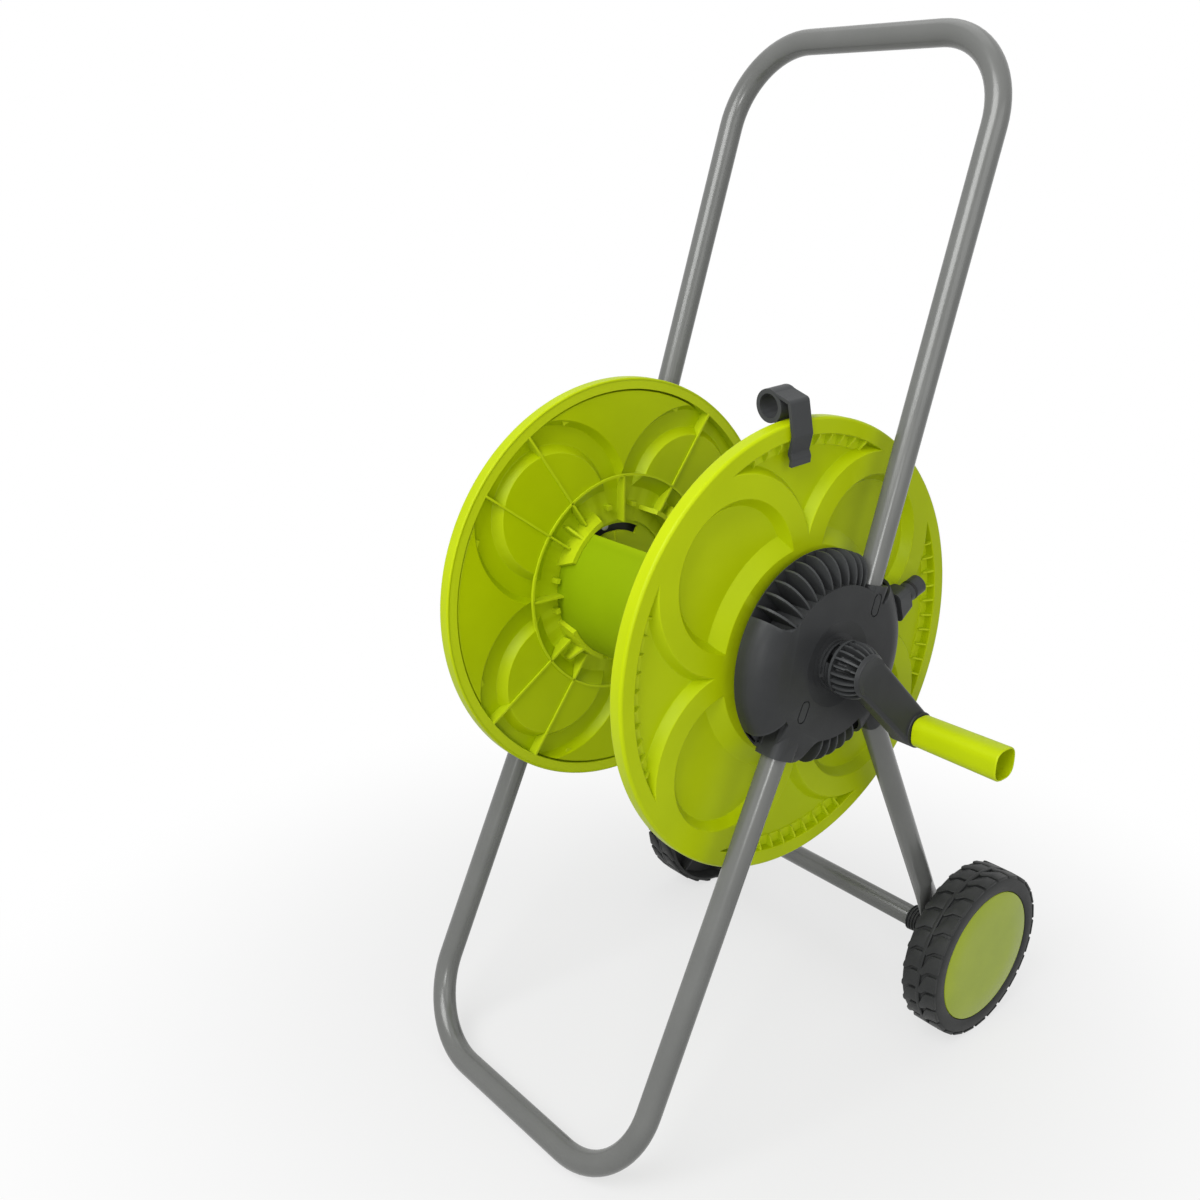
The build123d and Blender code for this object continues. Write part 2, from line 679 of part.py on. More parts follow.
seal_at = PIPE_OUT + BASE_LEN + NECK_LEN + COLLAR_LEN
with BuildPart() as inlet_seal:
    with BuildSketch(spoke_plane(INLET_ANGLE, SWIVEL_MID, seal_at + SEAT)):
        Circle(NIPPLE_R + 0.3)
        Circle(NECK_R + SEAT, mode=Mode.SUBTRACT)
    extrude(amount=SEAL_SLOT - 2 * SEAT)
    fillet(inlet_seal.edges(), 0.7)

# Side covers


def under_dome(inset):
    """Half section of the cover's dome, drawn in by a wall."""
    with BuildSketch() as half:
        with BuildLine():
            Polyline(
                (COVER_IN, 0),
                (COVER_IN, COVER_EDGE_R - inset),
                (COVER_OUT - inset, COVER_R - inset),
                (COVER_OUT - inset, 0),
                close=True,
            )
        make_face()
        corner = half.vertices().group_by(Axis.X)[-1].sort_by(Axis.Y)[-1]
        fillet(corner, COVER_ROUND - inset)
    return half.sketch


handle_socket = tube_plane(HANDLE_END - 2, HANDLE_Y, HANDLE_SLOPE, False)
stand_socket = tube_plane(2 - STAND_END, STAND_Y, STAND_SLOPE, True)
leg_socket = tube_plane(2 - LEG_END, LEG_Y, LEG_SLOPE, True)
handle_bore = tube_plane(HANDLE_END, HANDLE_Y, HANDLE_SLOPE, False)
stand_bore = tube_plane(-STAND_END, STAND_Y, STAND_SLOPE, True)


def cover(crank_side):
    """Side cover on the crank side, or the same with a closed middle for the far side."""
    with BuildPart() as shell:
        with BuildSketch(radial_plane(90)):
            add(under_dome(0))
        revolve(axis=REEL_AXIS)
        with BuildSketch(radial_plane(90)):
            add(under_dome(COVER_WALL))
        revolve(axis=REEL_AXIS, mode=Mode.SUBTRACT)
        # fans: the dome is cut away to a floor
        for fan_from, fan_to in ((FAN_FROM, FAN_TO), (LOW_FAN_FROM, LOW_FAN_TO)):
            with BuildSketch(side_plane(FAN_FLOOR)) as fan:
                add(band(FAN_IN, 2 * COVER_R, fan_from, fan_to - fan_from))
                fillet(fan.vertices().group_by(SortBy.DISTANCE)[0].sort_by(Axis.X)[0], FAN_CORNER)
            extrude(amount=COVER_OUT - FAN_FLOOR, mode=Mode.SUBTRACT)
            with BuildSketch(side_plane(FAN_FLOOR - COVER_WALL)):
                add(band(FAN_IN - COVER_WALL, COVER_EDGE_R, fan_from, fan_to - fan_from))
            extrude(amount=COVER_WALL)
            with BuildSketch(side_plane(FAN_FLOOR - COVER_WALL)):
                add(band(FAN_IN - COVER_WALL, FAN_IN, fan_from, fan_to - fan_from))
            extrude(amount=COVER_OUT - FAN_FLOOR)
        # blades of the fans
        blade_angles = [BLADE_FROM + BLADE_STEP * n for n in range(BLADES)]
        blade_angles += [LOW_BLADE_FROM + BLADE_STEP * n for n in range(LOW_BLADES)]
        for angle in blade_angles:
            with BuildSketch(radial_plane(angle)):
                add(under_dome(0.4))
                with Locations((COVER_IN, 0)):
                    Rectangle(4 * COVER_OUT, 2 * FAN_IN - 1, mode=Mode.SUBTRACT)
                with Locations((FAN_FLOOR - 1, 0)):
                    Rectangle(COVER_OUT, 4 * COVER_R, align=(Align.MAX, Align.CENTER), mode=Mode.SUBTRACT)
            extrude(amount=BLADE_T / 2, both=True)
        # sockets of the tubes
        for plane, length in ((handle_socket, HANDLE_SOCKET), (stand_socket, STAND_SOCKET), (leg_socket, LEG_SOCKET)):
            with BuildSketch(plane):
                RectangleRounded(SOCKET_W, SOCKET_W, SOCKET_ROUND)
            extrude(amount=length)
        # bearing boss and screw bosses
        with BuildSketch(side_plane(SWIVEL_OUT + 0.4)):
            Circle(BOSS_R)
        extrude(amount=COVER_OUT - SWIVEL_OUT - 0.4)
        with BuildSketch(side_plane(PLATE_IN + PLATE_T)):
            for angle in SCREW_ANGLES:
                with PolarLocations(SCREW_DIST, 1, start_angle=angle):
                    Circle(SCREW_BOSS_R)
        extrude(amount=COVER_OUT - PLATE_IN - PLATE_T - 1)
        with BuildSketch(side_plane(PLATE_IN + PLATE_T)):
            for angle in SCREW_ANGLES:
                with PolarLocations(SCREW_DIST, 1, start_angle=angle):
                    Circle(SCREW_R + SEAT)
        extrude(amount=SCREW_LEN, mode=Mode.SUBTRACT)
        # shallow round recess of the face
        with BuildSketch(side_plane(COVER_OUT)):
            Circle(FACE_RECESS_R)
            Circle(BOSS_R + 2, mode=Mode.SUBTRACT)
        extrude(amount=-FACE_RECESS, mode=Mode.SUBTRACT)
        # slits round the spring tabs over the tubes
        for tab_y, tab_rise, slope in ((HANDLE_Y, HANDLE_END + 6, HANDLE_SLOPE), (STAND_Y, -STAND_END - 12, STAND_SLOPE)):
            tilt = 90 - degrees(atan2(slope, 1))
            with BuildSketch(side_plane(COVER_OUT, tab_y + slope * tab_rise, AXIS_H + tab_rise)):
                SlotOverall(TAB_LEN + 2 * TAB_SLIT, TAB_W + 2 * TAB_SLIT, rotation=tilt)
                SlotOverall(TAB_LEN, TAB_W, rotation=tilt, mode=Mode.SUBTRACT)
            extrude(amount=-1.0, mode=Mode.SUBTRACT)
        # tubes, spindle and inlet
        for plane in (handle_bore, stand_bore, leg_top):
            with BuildSketch(plane):
                Circle(TUBE_R + SEAT)
            extrude(amount=2 * COVER_R, mode=Mode.SUBTRACT)
        if crank_side:
            with BuildSketch(side_plane(COVER_OUT)):
                Circle(BOSS_R)
            extrude(amount=BOSS_RISE)
            with BuildSketch(spoke_plane(INLET_ANGLE, SWIVEL_MID, FAN_IN)):
                Circle(PIPE_R + GAP)
            extrude(amount=COVER_R, mode=Mode.SUBTRACT)
        with BuildSketch(side_plane(SWIVEL_OUT)):
            Circle(SPINDLE_R + RUN)
        boss_hole = COVER_R if crank_side else COVER_OUT - COVER_WALL - SWIVEL_OUT
        extrude(amount=boss_hole, mode=Mode.SUBTRACT)
    return shell


left_cover = cover(True)
right_cover = mirrored(cover(False))

with BuildPart() as left_inner_plate:
    with BuildSketch(side_plane(PLATE_IN)):
        Circle(PLATE_R)
    extrude(amount=PLATE_T)
    with BuildSketch(side_plane(PLATE_IN - 1.6)):
        Circle(BEARING_R)
    extrude(amount=SWIVEL_IN - PLATE_IN + 1.2)
    with BuildSketch(side_plane(PLATE_IN - 2)):
        Circle(SPINDLE_R + RUN)
    extrude(amount=2 * SWIVEL_LEN, mode=Mode.SUBTRACT)
    # stiffening ribs on the outer side, under the sockets
    with BuildSketch(side_plane(PLATE_IN + PLATE_T)):
        with PolarLocations((BEARING_R + FAN_IN) / 2, 6, start_angle=10):
            Rectangle(FAN_IN - BEARING_R - 10, RIB_T)
    extrude(amount=1.0)
    with BuildSketch(side_plane(PLATE_IN)):
        for screw_angle in SCREW_ANGLES:
            with PolarLocations(SCREW_DIST, 1, start_angle=screw_angle):
                Circle(SCREW_R + SEAT)
    extrude(amount=2 * PLATE_T, mode=Mode.SUBTRACT)
right_inner_plate = mirrored(left_inner_plate)

with BuildPart() as left_screws:
    for screw_angle in SCREW_ANGLES:
        with BuildSketch(side_plane(PLATE_IN - SCREW_HEAD_T)):
            with PolarLocations(SCREW_DIST, 1, start_angle=screw_angle):
                Circle(SCREW_HEAD_R)
        extrude(amount=SCREW_HEAD_T)
        with BuildSketch(side_plane(PLATE_IN)):
            with PolarLocations(SCREW_DIST, 1, start_angle=screw_angle):
                Circle(SCREW_R)
        extrude(amount=SCREW_LEN)
with BuildPart() as cover_screws:
    add(left_screws.part)
    mirror(left_screws.part, about=Plane.YZ)

# Crank and grip

arm_mid = CRANK_OUT - ARM_T / 2
arm_end_mid = COLLAR_OUT - COLLAR_DEEP / 2
fan_start = CRANK_ANGLE + 180 - FIN_GAPS * FIN_STEP / 2


def hub_half(inset):
    """Half section of the crank's hub, its round side drawn in."""
    with BuildSketch() as half:
        with BuildLine():
            round_side = ThreePointArc(
                (CRANK_IN + 9, CRANK_HUB_R - inset),
                ((CRANK_IN + CRANK_OUT) / 2 + 6, CRANK_BULGE_R - inset),
                (CRANK_OUT - 1, CRANK_TOP_R - inset),
            )
            Polyline(
                round_side @ 1,
                (CRANK_OUT - 1, 0),
                (CRANK_IN, 0),
                (CRANK_IN, CRANK_NECK_R - inset),
                (CRANK_IN + 6, CRANK_NECK_R - inset),
                (CRANK_IN + 6, CRANK_HUB_R - inset),
                round_side @ 0,
            )
        make_face()
    return half.sketch


with BuildPart() as crank:
    with BuildSketch(radial_plane(90)):
        add(hub_half(0))
    revolve(axis=REEL_AXIS)
    # ribbed side of the hub, away from the arm
    with BuildSketch(radial_plane(fan_start)):
        with BuildLine():
            Polyline(
                (CRANK_IN + 8.2, CRANK_HUB_R + 3),
                (CRANK_IN + 8.2, CRANK_HUB_R - FIN_DEEP),
                (CRANK_OUT - 3.5, CRANK_TOP_R - 2.2),
                (CRANK_OUT - 3.5, CRANK_HUB_R + 3),
                close=True,
            )
        make_face()
    revolve(axis=REEL_AXIS, revolution_arc=FIN_GAPS * FIN_STEP, mode=Mode.SUBTRACT)
    for fin in range(1, FIN_GAPS):
        with BuildSketch(radial_plane(fan_start + fin * FIN_STEP)):
            add(hub_half(0.3))
        extrude(amount=FIN_T / 2, both=True)
    # arm
    with BuildSketch(spoke_plane(CRANK_ANGLE, arm_mid, 0)):
        RectangleRounded(ARM_T, ARM_W, 4)
    with BuildSketch(spoke_plane(CRANK_ANGLE, arm_end_mid, CRANK_R)):
        RectangleRounded(COLLAR_DEEP, ARM_END_W, 4)
    loft()
    with BuildSketch(side_plane(arm_mid - ARM_T / 2)):
        Circle(CRANK_TOP_R)
    extrude(amount=ARM_T)
    with BuildSketch(side_plane(COLLAR_OUT - COLLAR_DEEP, PIVOT_Y, PIVOT_Z)):
        Circle(COLLAR_R)
    extrude(amount=COLLAR_DEEP)
    # hollow back of the arm
    with BuildSketch(spoke_plane(CRANK_ANGLE, arm_mid - WALL, CRANK_HUB_R + 4)):
        RectangleRounded(ARM_T, ARM_W - 3 * WALL, 2)
    with BuildSketch(spoke_plane(CRANK_ANGLE, arm_end_mid - WALL - 2, CRANK_R - COLLAR_R)):
        RectangleRounded(ARM_T, ARM_END_W - 3 * WALL, 2)
    loft(mode=Mode.SUBTRACT)
    # peg with its snap barb
    with BuildSketch(side_plane(COLLAR_OUT, PIVOT_Y, PIVOT_Z)):
        Circle(PEG_R)
    extrude(amount=PEG_LEN)
    with BuildSketch(side_plane(COLLAR_OUT + PEG_LEN - BARB_LEN, PIVOT_Y, PIVOT_Z)):
        Circle(BARB_R)
    extrude(amount=BARB_LEN)
    chamfer(crank.edges().group_by(Axis.X)[-1], 1.5)
    # socket of the drive square
    with BuildSketch(side_plane(CRANK_IN)):
        RectangleRounded(DRIVE_W + 2 * SEAT, DRIVE_W + 2 * SEAT, 1.0)
    extrude(amount=DRIVE_LEN, mode=Mode.SUBTRACT)

grip_wall_end = COLLAR_OUT + PEG_LEN - BARB_LEN - GAP
with BuildPart() as grip:
    with BuildSketch(side_plane(GRIP_IN, PIVOT_Y, PIVOT_Z)):
        RectangleRounded(GRIP_IN_W, GRIP_IN_W, GRIP_ROUND)
    with BuildSketch(side_plane(GRIP_IN + GRIP_LEN, PIVOT_Y, PIVOT_Z)):
        RectangleRounded(GRIP_OUT_W, GRIP_OUT_W, GRIP_ROUND)
    loft()
    fillet(grip.edges().group_by(Axis.X)[0], 1.2)
    with BuildSketch(side_plane(grip_wall_end, PIVOT_Y, PIVOT_Z)):
        RectangleRounded(GRIP_IN_W - 2 * GRIP_WALL, GRIP_IN_W - 2 * GRIP_WALL, GRIP_ROUND - GRIP_WALL)
    extrude(amount=GRIP_LEN, mode=Mode.SUBTRACT)
    with BuildSketch(side_plane(GRIP_IN, PIVOT_Y, PIVOT_Z)):
        Circle(PEG_R + RUN)
    extrude(amount=GRIP_LEN, mode=Mode.SUBTRACT)

# Hose-end clip

clip_ring_r = FLANGE_R + CLIP_RING_RISE
strap_top = clip_ring_r + CLIP_RING_R - CLIP_T / 2
with BuildPart() as hose_end_clip:
    with BuildSketch(radial_plane(CLIP_ANGLE)):
        with BuildLine():
            FilletPolyline(
                (CLIP_RING_X, strap_top),
                (FLANGE_OUT - 0.4, FLANGE_R + CLIP_CORNER),
                (FLANGE_OUT + CLIP_BULGE, FLANGE_R - CLIP_DROP),
                (FLANGE_OUT - 1.1, FLANGE_R - CLIP_FOOT),
                (FLANGE_OUT + 0.7, FLANGE_R - CLIP_FOOT - 4.5),
                (FLANGE_OUT - 0.1, FLANGE_R - CLIP_FOOT - 9.5),
                radius=2.0,
            )
        trace(line_width=CLIP_T)
        with Locations((CLIP_RING_X, clip_ring_r)):
            Circle(CLIP_RING_R)
        with Locations((FLANGE_IN - GAP, clip_ring_r)):
            Rectangle(CLIP_T, CLIP_RING_R + CLIP_LEG, align=(Align.MAX, Align.MAX))
        with Locations((CLIP_RING_X, clip_ring_r)):
            Circle(CLIP_HOLE_R, mode=Mode.SUBTRACT)
    extrude(amount=CLIP_W / 2, both=True)

# Files of the pieces

pieces = {
    "handle_tube": handle_tube,
    "stand_tube": stand_tube,
    "left_leg": left_leg,
    "right_leg": right_leg,
    "axle_tube": axle_tube,
    "axle_rod": axle_rod,
    "left_axle_bush": left_axle_bush,
    "right_axle_bush": right_axle_bush,
    "axle_push_nuts": axle_push_nuts,
    "left_cover": left_cover,
    "right_cover": right_cover,
    "left_inner_plate": left_inner_plate,
    "right_inner_plate": right_inner_plate,
    "cover_screws": cover_screws,
    "inlet_swivel": inlet_swivel,
    "inlet_seal": inlet_seal,
    "spindle_seals": spindle_seals,
    "left_flange": left_flange,
    "right_flange": right_flange,
    "drum": drum,
    "water_spindle": water_spindle,
    "right_stub": right_stub,
    "hose_outlet": hose_outlet,
    "crank": crank,
    "grip": grip,
    "hose_end_clip": hose_end_clip,
    "left_wheel": left_wheel,
    "right_wheel": right_wheel,
    "left_wheel_cap": left_wheel_cap,
    "right_wheel_cap": right_wheel_cap,
}
for name, piece in pieces.items():
    piece.part.label = name
    export_step(piece.part, f"parts/{name}.step")
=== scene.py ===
"""Garden hose reel cart in a plain studio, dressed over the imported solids."""

import json
import logging
from dataclasses import dataclass
from enum import Enum
from math import acos, atan2, cos, pi, radians, sin, sqrt, tan
from typing import Iterable

import bmesh
import bpy
from mathutils import Matrix, Vector


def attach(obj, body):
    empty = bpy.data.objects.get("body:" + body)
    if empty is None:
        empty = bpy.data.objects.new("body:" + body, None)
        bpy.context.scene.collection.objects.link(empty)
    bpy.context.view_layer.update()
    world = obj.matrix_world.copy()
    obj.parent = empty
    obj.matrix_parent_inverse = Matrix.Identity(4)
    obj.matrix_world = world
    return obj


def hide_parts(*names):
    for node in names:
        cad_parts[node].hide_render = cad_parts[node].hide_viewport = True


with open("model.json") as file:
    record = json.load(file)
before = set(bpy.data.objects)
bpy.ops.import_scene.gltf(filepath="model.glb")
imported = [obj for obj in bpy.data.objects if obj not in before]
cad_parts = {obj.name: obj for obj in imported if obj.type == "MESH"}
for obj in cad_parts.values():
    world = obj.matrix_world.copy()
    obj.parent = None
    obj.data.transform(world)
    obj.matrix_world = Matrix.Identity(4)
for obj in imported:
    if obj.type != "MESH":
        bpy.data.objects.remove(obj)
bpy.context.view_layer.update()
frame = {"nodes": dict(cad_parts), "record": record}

log = logging.getLogger("hose_cart")

# Reel axis and wheel axle in the cart's frame, in millimetres
AXIS_H = 405.0
WHEEL_Y = 192.4
WHEEL_R = 80.0

BODY_OF = {node: body for body, nodes in frame["record"]["behaviour"]["bodies"].items() for node in nodes}
SLOT_OF = {part["node"]: part["material_slot"] for part in frame["record"]["subparts"]}


class Side(Enum):
    """Side of the cart, as the sign of X."""

    LEFT = 1
    RIGHT = -1

    def node(self, piece: str) -> str:
        """Name of that side's node."""
        return f"{self.name.lower()}_{piece}"


def mm(*values: float) -> Vector | float:
    """Millimetres in metres, as a number or a vector."""
    return Vector(values) / 1000.0 if len(values) > 1 else values[0] / 1000.0


def hex_linear(code: str) -> tuple[float, float, float, float]:
    """Linear colour of an sRGB hex value.

    Args:
        code: six hex digits after a hash.

    Returns:
        Red, green, blue and alpha for a shader socket.
    """
    parts = [int(code[i : i + 2], 16) / 255 for i in (1, 3, 5)]
    linear = [c / 12.92 if c <= 0.04045 else ((c + 0.055) / 1.055) ** 2.4 for c in parts]
    return (*linear, 1.0)


def add_node(tree: bpy.types.NodeTree, kind: str, inputs: dict | None = None, **settings) -> bpy.types.Node:
    """Adds a node with its settings and links.

    Args:
        tree: the material's or world's node tree.
        kind: Blender's name of the node type.
        inputs: a value or an output socket for each named or numbered input.
        settings: properties of the node.

    Returns:
        The new node.
    """
    node = tree.nodes.new(kind)
    for name, value in settings.items():
        setattr(node, name, value)
    for name, value in (inputs or {}).items():
        if isinstance(value, bpy.types.NodeSocket):
            tree.links.new(value, node.inputs[name])
        else:
            node.inputs[name].default_value = value
    return node


@dataclass(frozen=True)
class Finish:
    """One surface: what it is made of and how it was made."""

    title: str
    colour: str
    tone: str  # where the slow variation runs to
    roughness: float
    rough_swing: float
    grain_mm: float
    grain_height_mm: float
    drift_mm: float
    metallic: float = 0.0
    ior: float = 1.5
    specular: float = 0.5
    coat: float = 0.0
    coat_roughness: float = 0.1
    edge_wear_and_highlight: str = ""  # colour of edges: rubbed wear and painted highlight

    def material(self) -> bpy.types.Material:
        """Builds the node material of this finish."""
        made = bpy.data.materials.get(self.title)
        if made:
            return made
        made = bpy.data.materials.new(self.title)
        made.use_nodes = True
        tree = made.node_tree
        tree.nodes.clear()
        place = add_node(tree, "ShaderNodeTexCoord").outputs["Object"]
        drift = add_node(
            tree, "ShaderNodeTexNoise", {"Vector": place, "Scale": 1 / mm(self.drift_mm), "Detail": 4.0}
        )
        spread = add_node(tree, "ShaderNodeMapRange", {0: drift.outputs["Fac"], 1: 0.35, 2: 0.65})
        colour = add_node(
            tree,
            "ShaderNodeMix",
            {0: spread.outputs[0], 6: hex_linear(self.colour), 7: hex_linear(self.tone)},
            data_type="RGBA",
        ).outputs[2]
        # Convex edges, found by pointiness, take a lighter colour: partly rubbed wear, partly a painted
        # highlight along the edges
        if self.edge_wear_and_highlight:
            edge = add_node(tree, "ShaderNodeNewGeometry").outputs["Pointiness"]
            rub_and_highlight = add_node(tree, "ShaderNodeMapRange", {0: edge, 1: 0.52, 2: 0.62, 4: 0.55})
            colour = add_node(
                tree,
                "ShaderNodeMix",
                {0: rub_and_highlight.outputs[0], 6: colour, 7: hex_linear(self.edge_wear_and_highlight)},
                data_type="RGBA",
            ).outputs[2]
        grain = add_node(
            tree, "ShaderNodeTexNoise", {"Vector": place, "Scale": 1 / mm(self.grain_mm), "Detail": 2.0}
        )
        low, high = self.roughness - self.rough_swing, self.roughness + self.rough_swing
        rough = add_node(
            tree,
            "ShaderNodeMapRange",
            {0: grain.outputs["Fac"], 1: 0.3, 2: 0.7, 3: low, 4: high},
        )
        bump = add_node(
            tree,
            "ShaderNodeBump",
            {"Strength": 1.0, "Distance": mm(self.grain_height_mm), "Height": grain.outputs["Fac"]},
        )
        shader = add_node(
            tree,
            "ShaderNodeBsdfPrincipled",
            {
                "Base Color": colour,
                "Roughness": rough.outputs[0],
                "Normal": bump.outputs["Normal"],
                "Metallic": self.metallic,
                "IOR": self.ior,
                "Specular IOR Level": self.specular,
                "Coat Weight": self.coat,
                "Coat Roughness": self.coat_roughness,
            },
        )
        add_node(tree, "ShaderNodeOutputMaterial", {"Surface": shader.outputs["BSDF"]})
        return made


# Powder-coated steel tube: smooth semi-gloss grey, with one long soft highlight down each straight.
TUBE_PAINT = Finish(
    "grey powder-coated steel", "#666765", "#626361", 0.24, 0.004, 3.0, 0.0002, 45.0,
    metallic=0.1, specular=0.42,
)
# Injection-moulded polypropylene, satin: the flow of the melt shows as a slow drift in tone.
LIME_PP = Finish(
    "lime moulded polypropylene", "#AFC102", "#A8BA00", 0.40, 0.06, 0.9, 0.008, 70.0,
    # lighter edges: rubbed wear and painted highlight
    ior=1.49, specular=0.13, edge_wear_and_highlight="#C2D320",
)
# The same lime plastic, painted darker and greener on the drum: painted shade from the flanges on both sides
# and the green of light bounced between them.
SHADED_DRUM_PP = Finish(
    "green moulded polypropylene", "#7C9602", "#769000", 0.42, 0.06, 0.9, 0.008, 60.0,
    # lighter edges: rubbed wear and painted highlight
    ior=1.49, specular=0.12, edge_wear_and_highlight="#98B010",
)
# The same colour polished in the mould, with a clear glossy skin.
LIME_GLOSS = Finish(
    "lime polished polypropylene", "#9CAD05", "#95A702", 0.20, 0.03, 2.5, 0.002, 40.0,
    specular=0.20, coat=0.16, coat_roughness=0.06,
)
# Dark grey polypropylene with the fine spark-eroded grain of the mould.
DARK_PP = Finish(
    "dark grey moulded polypropylene", "#343536", "#2F3031", 0.44, 0.07, 0.7, 0.014, 30.0,
    # lighter edges: rubbed wear and painted highlight
    ior=1.49, specular=0.15, edge_wear_and_highlight="#4E5051",
)
# Black polyethylene of wheels and plugs.
BLACK_PE = Finish(
    "black moulded polyethylene", "#252626", "#2B2C2C", 0.50, 0.08, 0.8, 0.02, 14.0,
    # lighter edges: rubbed wear and painted highlight
    specular=0.22, edge_wear_and_highlight="#3A3B3B",
)
# Zinc-plated steel of rod, nuts and screws: bright, with the cloudy patches of the plating bath.
ZINC = Finish("zinc-plated steel", "#B4B5B6", "#9A9B9D", 0.34, 0.1, 1.6, 0.006, 6.0, metallic=1.0)
# Nitrile rubber of the seals: dull and nearly black.
NITRILE = Finish("nitrile rubber", "#141414", "#1C1C1C", 0.6, 0.08, 0.8, 0.01, 8.0, specular=0.3)

FINISH_OF_SLOT = {
    "tube_paint": TUBE_PAINT,
    "steel": ZINC,
    "black_plastic": BLACK_PE,
    "dark_plastic": DARK_PP,
    "lime_plastic": LIME_PP,
    "lime_gloss": LIME_GLOSS,
    "seal_rubber": NITRILE,
}


def deselect() -> None:
    """Leaves edit mode and clears the selection."""
    if bpy.context.object and bpy.context.object.mode != "OBJECT":
        bpy.ops.object.mode_set(mode="OBJECT")
    bpy.ops.object.select_all(action="DESELECT")


def activate(*pieces: bpy.types.Object) -> None:
    """Selects the pieces alone, the first one active."""
    deselect()
    for piece in pieces:
        piece.select_set(True)
    bpy.context.view_layer.objects.active = pieces[0]


def apply_place(piece: bpy.types.Object) -> bpy.types.Object:
    """Moves a piece's place into its mesh."""
    activate(piece)
    bpy.ops.object.transform_apply(location=True, rotation=True, scale=True)
    return piece


def apply_modifiers(piece: bpy.types.Object) -> None:
    """Applies every modifier of a piece."""
    activate(piece)
    for modifier in list(piece.modifiers):
        bpy.ops.object.modifier_apply(modifier=modifier.name)


def join(*pieces: bpy.types.Object) -> bpy.types.Object:
    """Joins pieces into the first one."""
    activate(*pieces)
    bpy.ops.object.join()
    return bpy.context.object


def carve(piece: bpy.types.Object, cutter: bpy.types.Object) -> bpy.types.Object:
    """Cuts one mesh out of another and removes the cutter.

    Args:
        piece: the mesh that stays.
        cutter: the mesh that is used up.

    Returns:
        The piece.
    """
    boolean = piece.modifiers.new("carve", "BOOLEAN")
    boolean.operation = "DIFFERENCE"
    boolean.solver = "EXACT"
    boolean.object = cutter
    apply_modifiers(piece)
    bpy.data.objects.remove(cutter)
    return piece


def lathe(
    points: Iterable[tuple[float, float]],
    y: float = 0.0,
    z: float = AXIS_H,
    start: float = 0.0,
    sweep: float = 360.0,
    steps: int = 96,
) -> bpy.types.Object:
    """Turns a line of (x, radius) points about an axis along X.

    Args:
        points: the half section in millimetres, closed only if its ends meet.
        y: place of the axis.
        z: place of the axis.
        start: first angle in degrees, counted from the rear upwards.
        sweep: turned angle in degrees.
        steps: sides of the turn.

    Returns:
        The new mesh object.
    """
    points = list(points)
    turn = radians(start)
    rim = [mm(x, y + r * cos(turn), z + r * sin(turn)) for x, r in points]
    deselect()
    bpy.ops.mesh.primitive_plane_add(size=mm(1.0), location=rim[0])
    piece = apply_place(bpy.context.object)
    bpy.ops.object.mode_set(mode="EDIT")
    bpy.ops.mesh.select_all(action="SELECT")
    bpy.ops.mesh.merge(type="CENTER")
    for here, there in zip(rim, rim[1:]):
        bpy.ops.mesh.extrude_region_move(TRANSFORM_OT_translate={"value": there - here})
    bpy.ops.mesh.select_all(action="SELECT")
    bpy.ops.mesh.remove_doubles(threshold=1e-6)
    bpy.ops.mesh.select_all(action="SELECT")
    whole = abs(sweep) >= 360
    bpy.ops.mesh.spin(steps=steps, angle=-radians(sweep), center=mm(0, y, z), axis=(1, 0, 0))
    bpy.ops.mesh.select_all(action="SELECT")
    bpy.ops.mesh.remove_doubles(threshold=1e-6)
    if not whole:
        bpy.ops.mesh.select_all(action="DESELECT")
        bpy.ops.mesh.select_non_manifold()
        bpy.ops.mesh.edge_face_add()
    bpy.ops.mesh.select_all(action="SELECT")
    bpy.ops.mesh.normals_make_consistent(inside=False)
    bpy.ops.object.mode_set(mode="OBJECT")
    return piece


def even_normals(piece: bpy.types.Object, angle: float = 40.0) -> bpy.types.Object:
    """Shades a piece smooth, with flat faces kept flat beside their rounded edges."""
    activate(piece)
    bpy.ops.object.shade_smooth_by_angle(angle=radians(angle))
    weighted = piece.modifiers.new("even", "WEIGHTED_NORMAL")
    weighted.keep_sharp = True
    weighted.weight = 100
    apply_modifiers(piece)
    return piece


def soften(piece: bpy.types.Object, width: float, segments: int = 2, angle: float = 35.0) -> bpy.types.Object:
    """Rounds the sharp edges of a piece and shades it smooth.

    Args:
        piece: a closed mesh.
        width: width of the rounding in millimetres.
        segments: faces across the rounding.
        angle: least angle of an edge that is rounded, in degrees.

    Returns:
        The piece.
    """
    bevel = piece.modifiers.new("soften", "BEVEL")
    bevel.width = mm(width)
    bevel.segments = segments
    bevel.limit_method = "ANGLE"
    bevel.angle_limit = radians(angle)
    bevel.use_clamp_overlap = True
    apply_modifiers(piece)
    bpy.ops.object.shade_smooth_by_angle(angle=radians(angle))
    return piece


def of_solid(node: str, angle: float = 35.0) -> bpy.types.Object:
    """A merged copy of a CAD solid, shaded smooth with its flat faces kept flat.

    Args:
        node: the CAD node.
        angle: least angle of an edge that stays sharp, in degrees.

    Returns:
        The new piece.
    """
    deselect()
    piece = bpy.data.objects.new(f"{node}_dressed", frame["nodes"][node].data.copy())
    bpy.context.scene.collection.objects.link(piece)
    activate(piece)
    bpy.ops.object.mode_set(mode="EDIT")
    bpy.ops.mesh.select_all(action="SELECT")
    bpy.ops.mesh.remove_doubles(threshold=2e-6)
    bpy.ops.mesh.dissolve_limited(angle_limit=radians(0.1))
    bpy.ops.object.mode_set(mode="OBJECT")
    return even_normals(piece, angle)


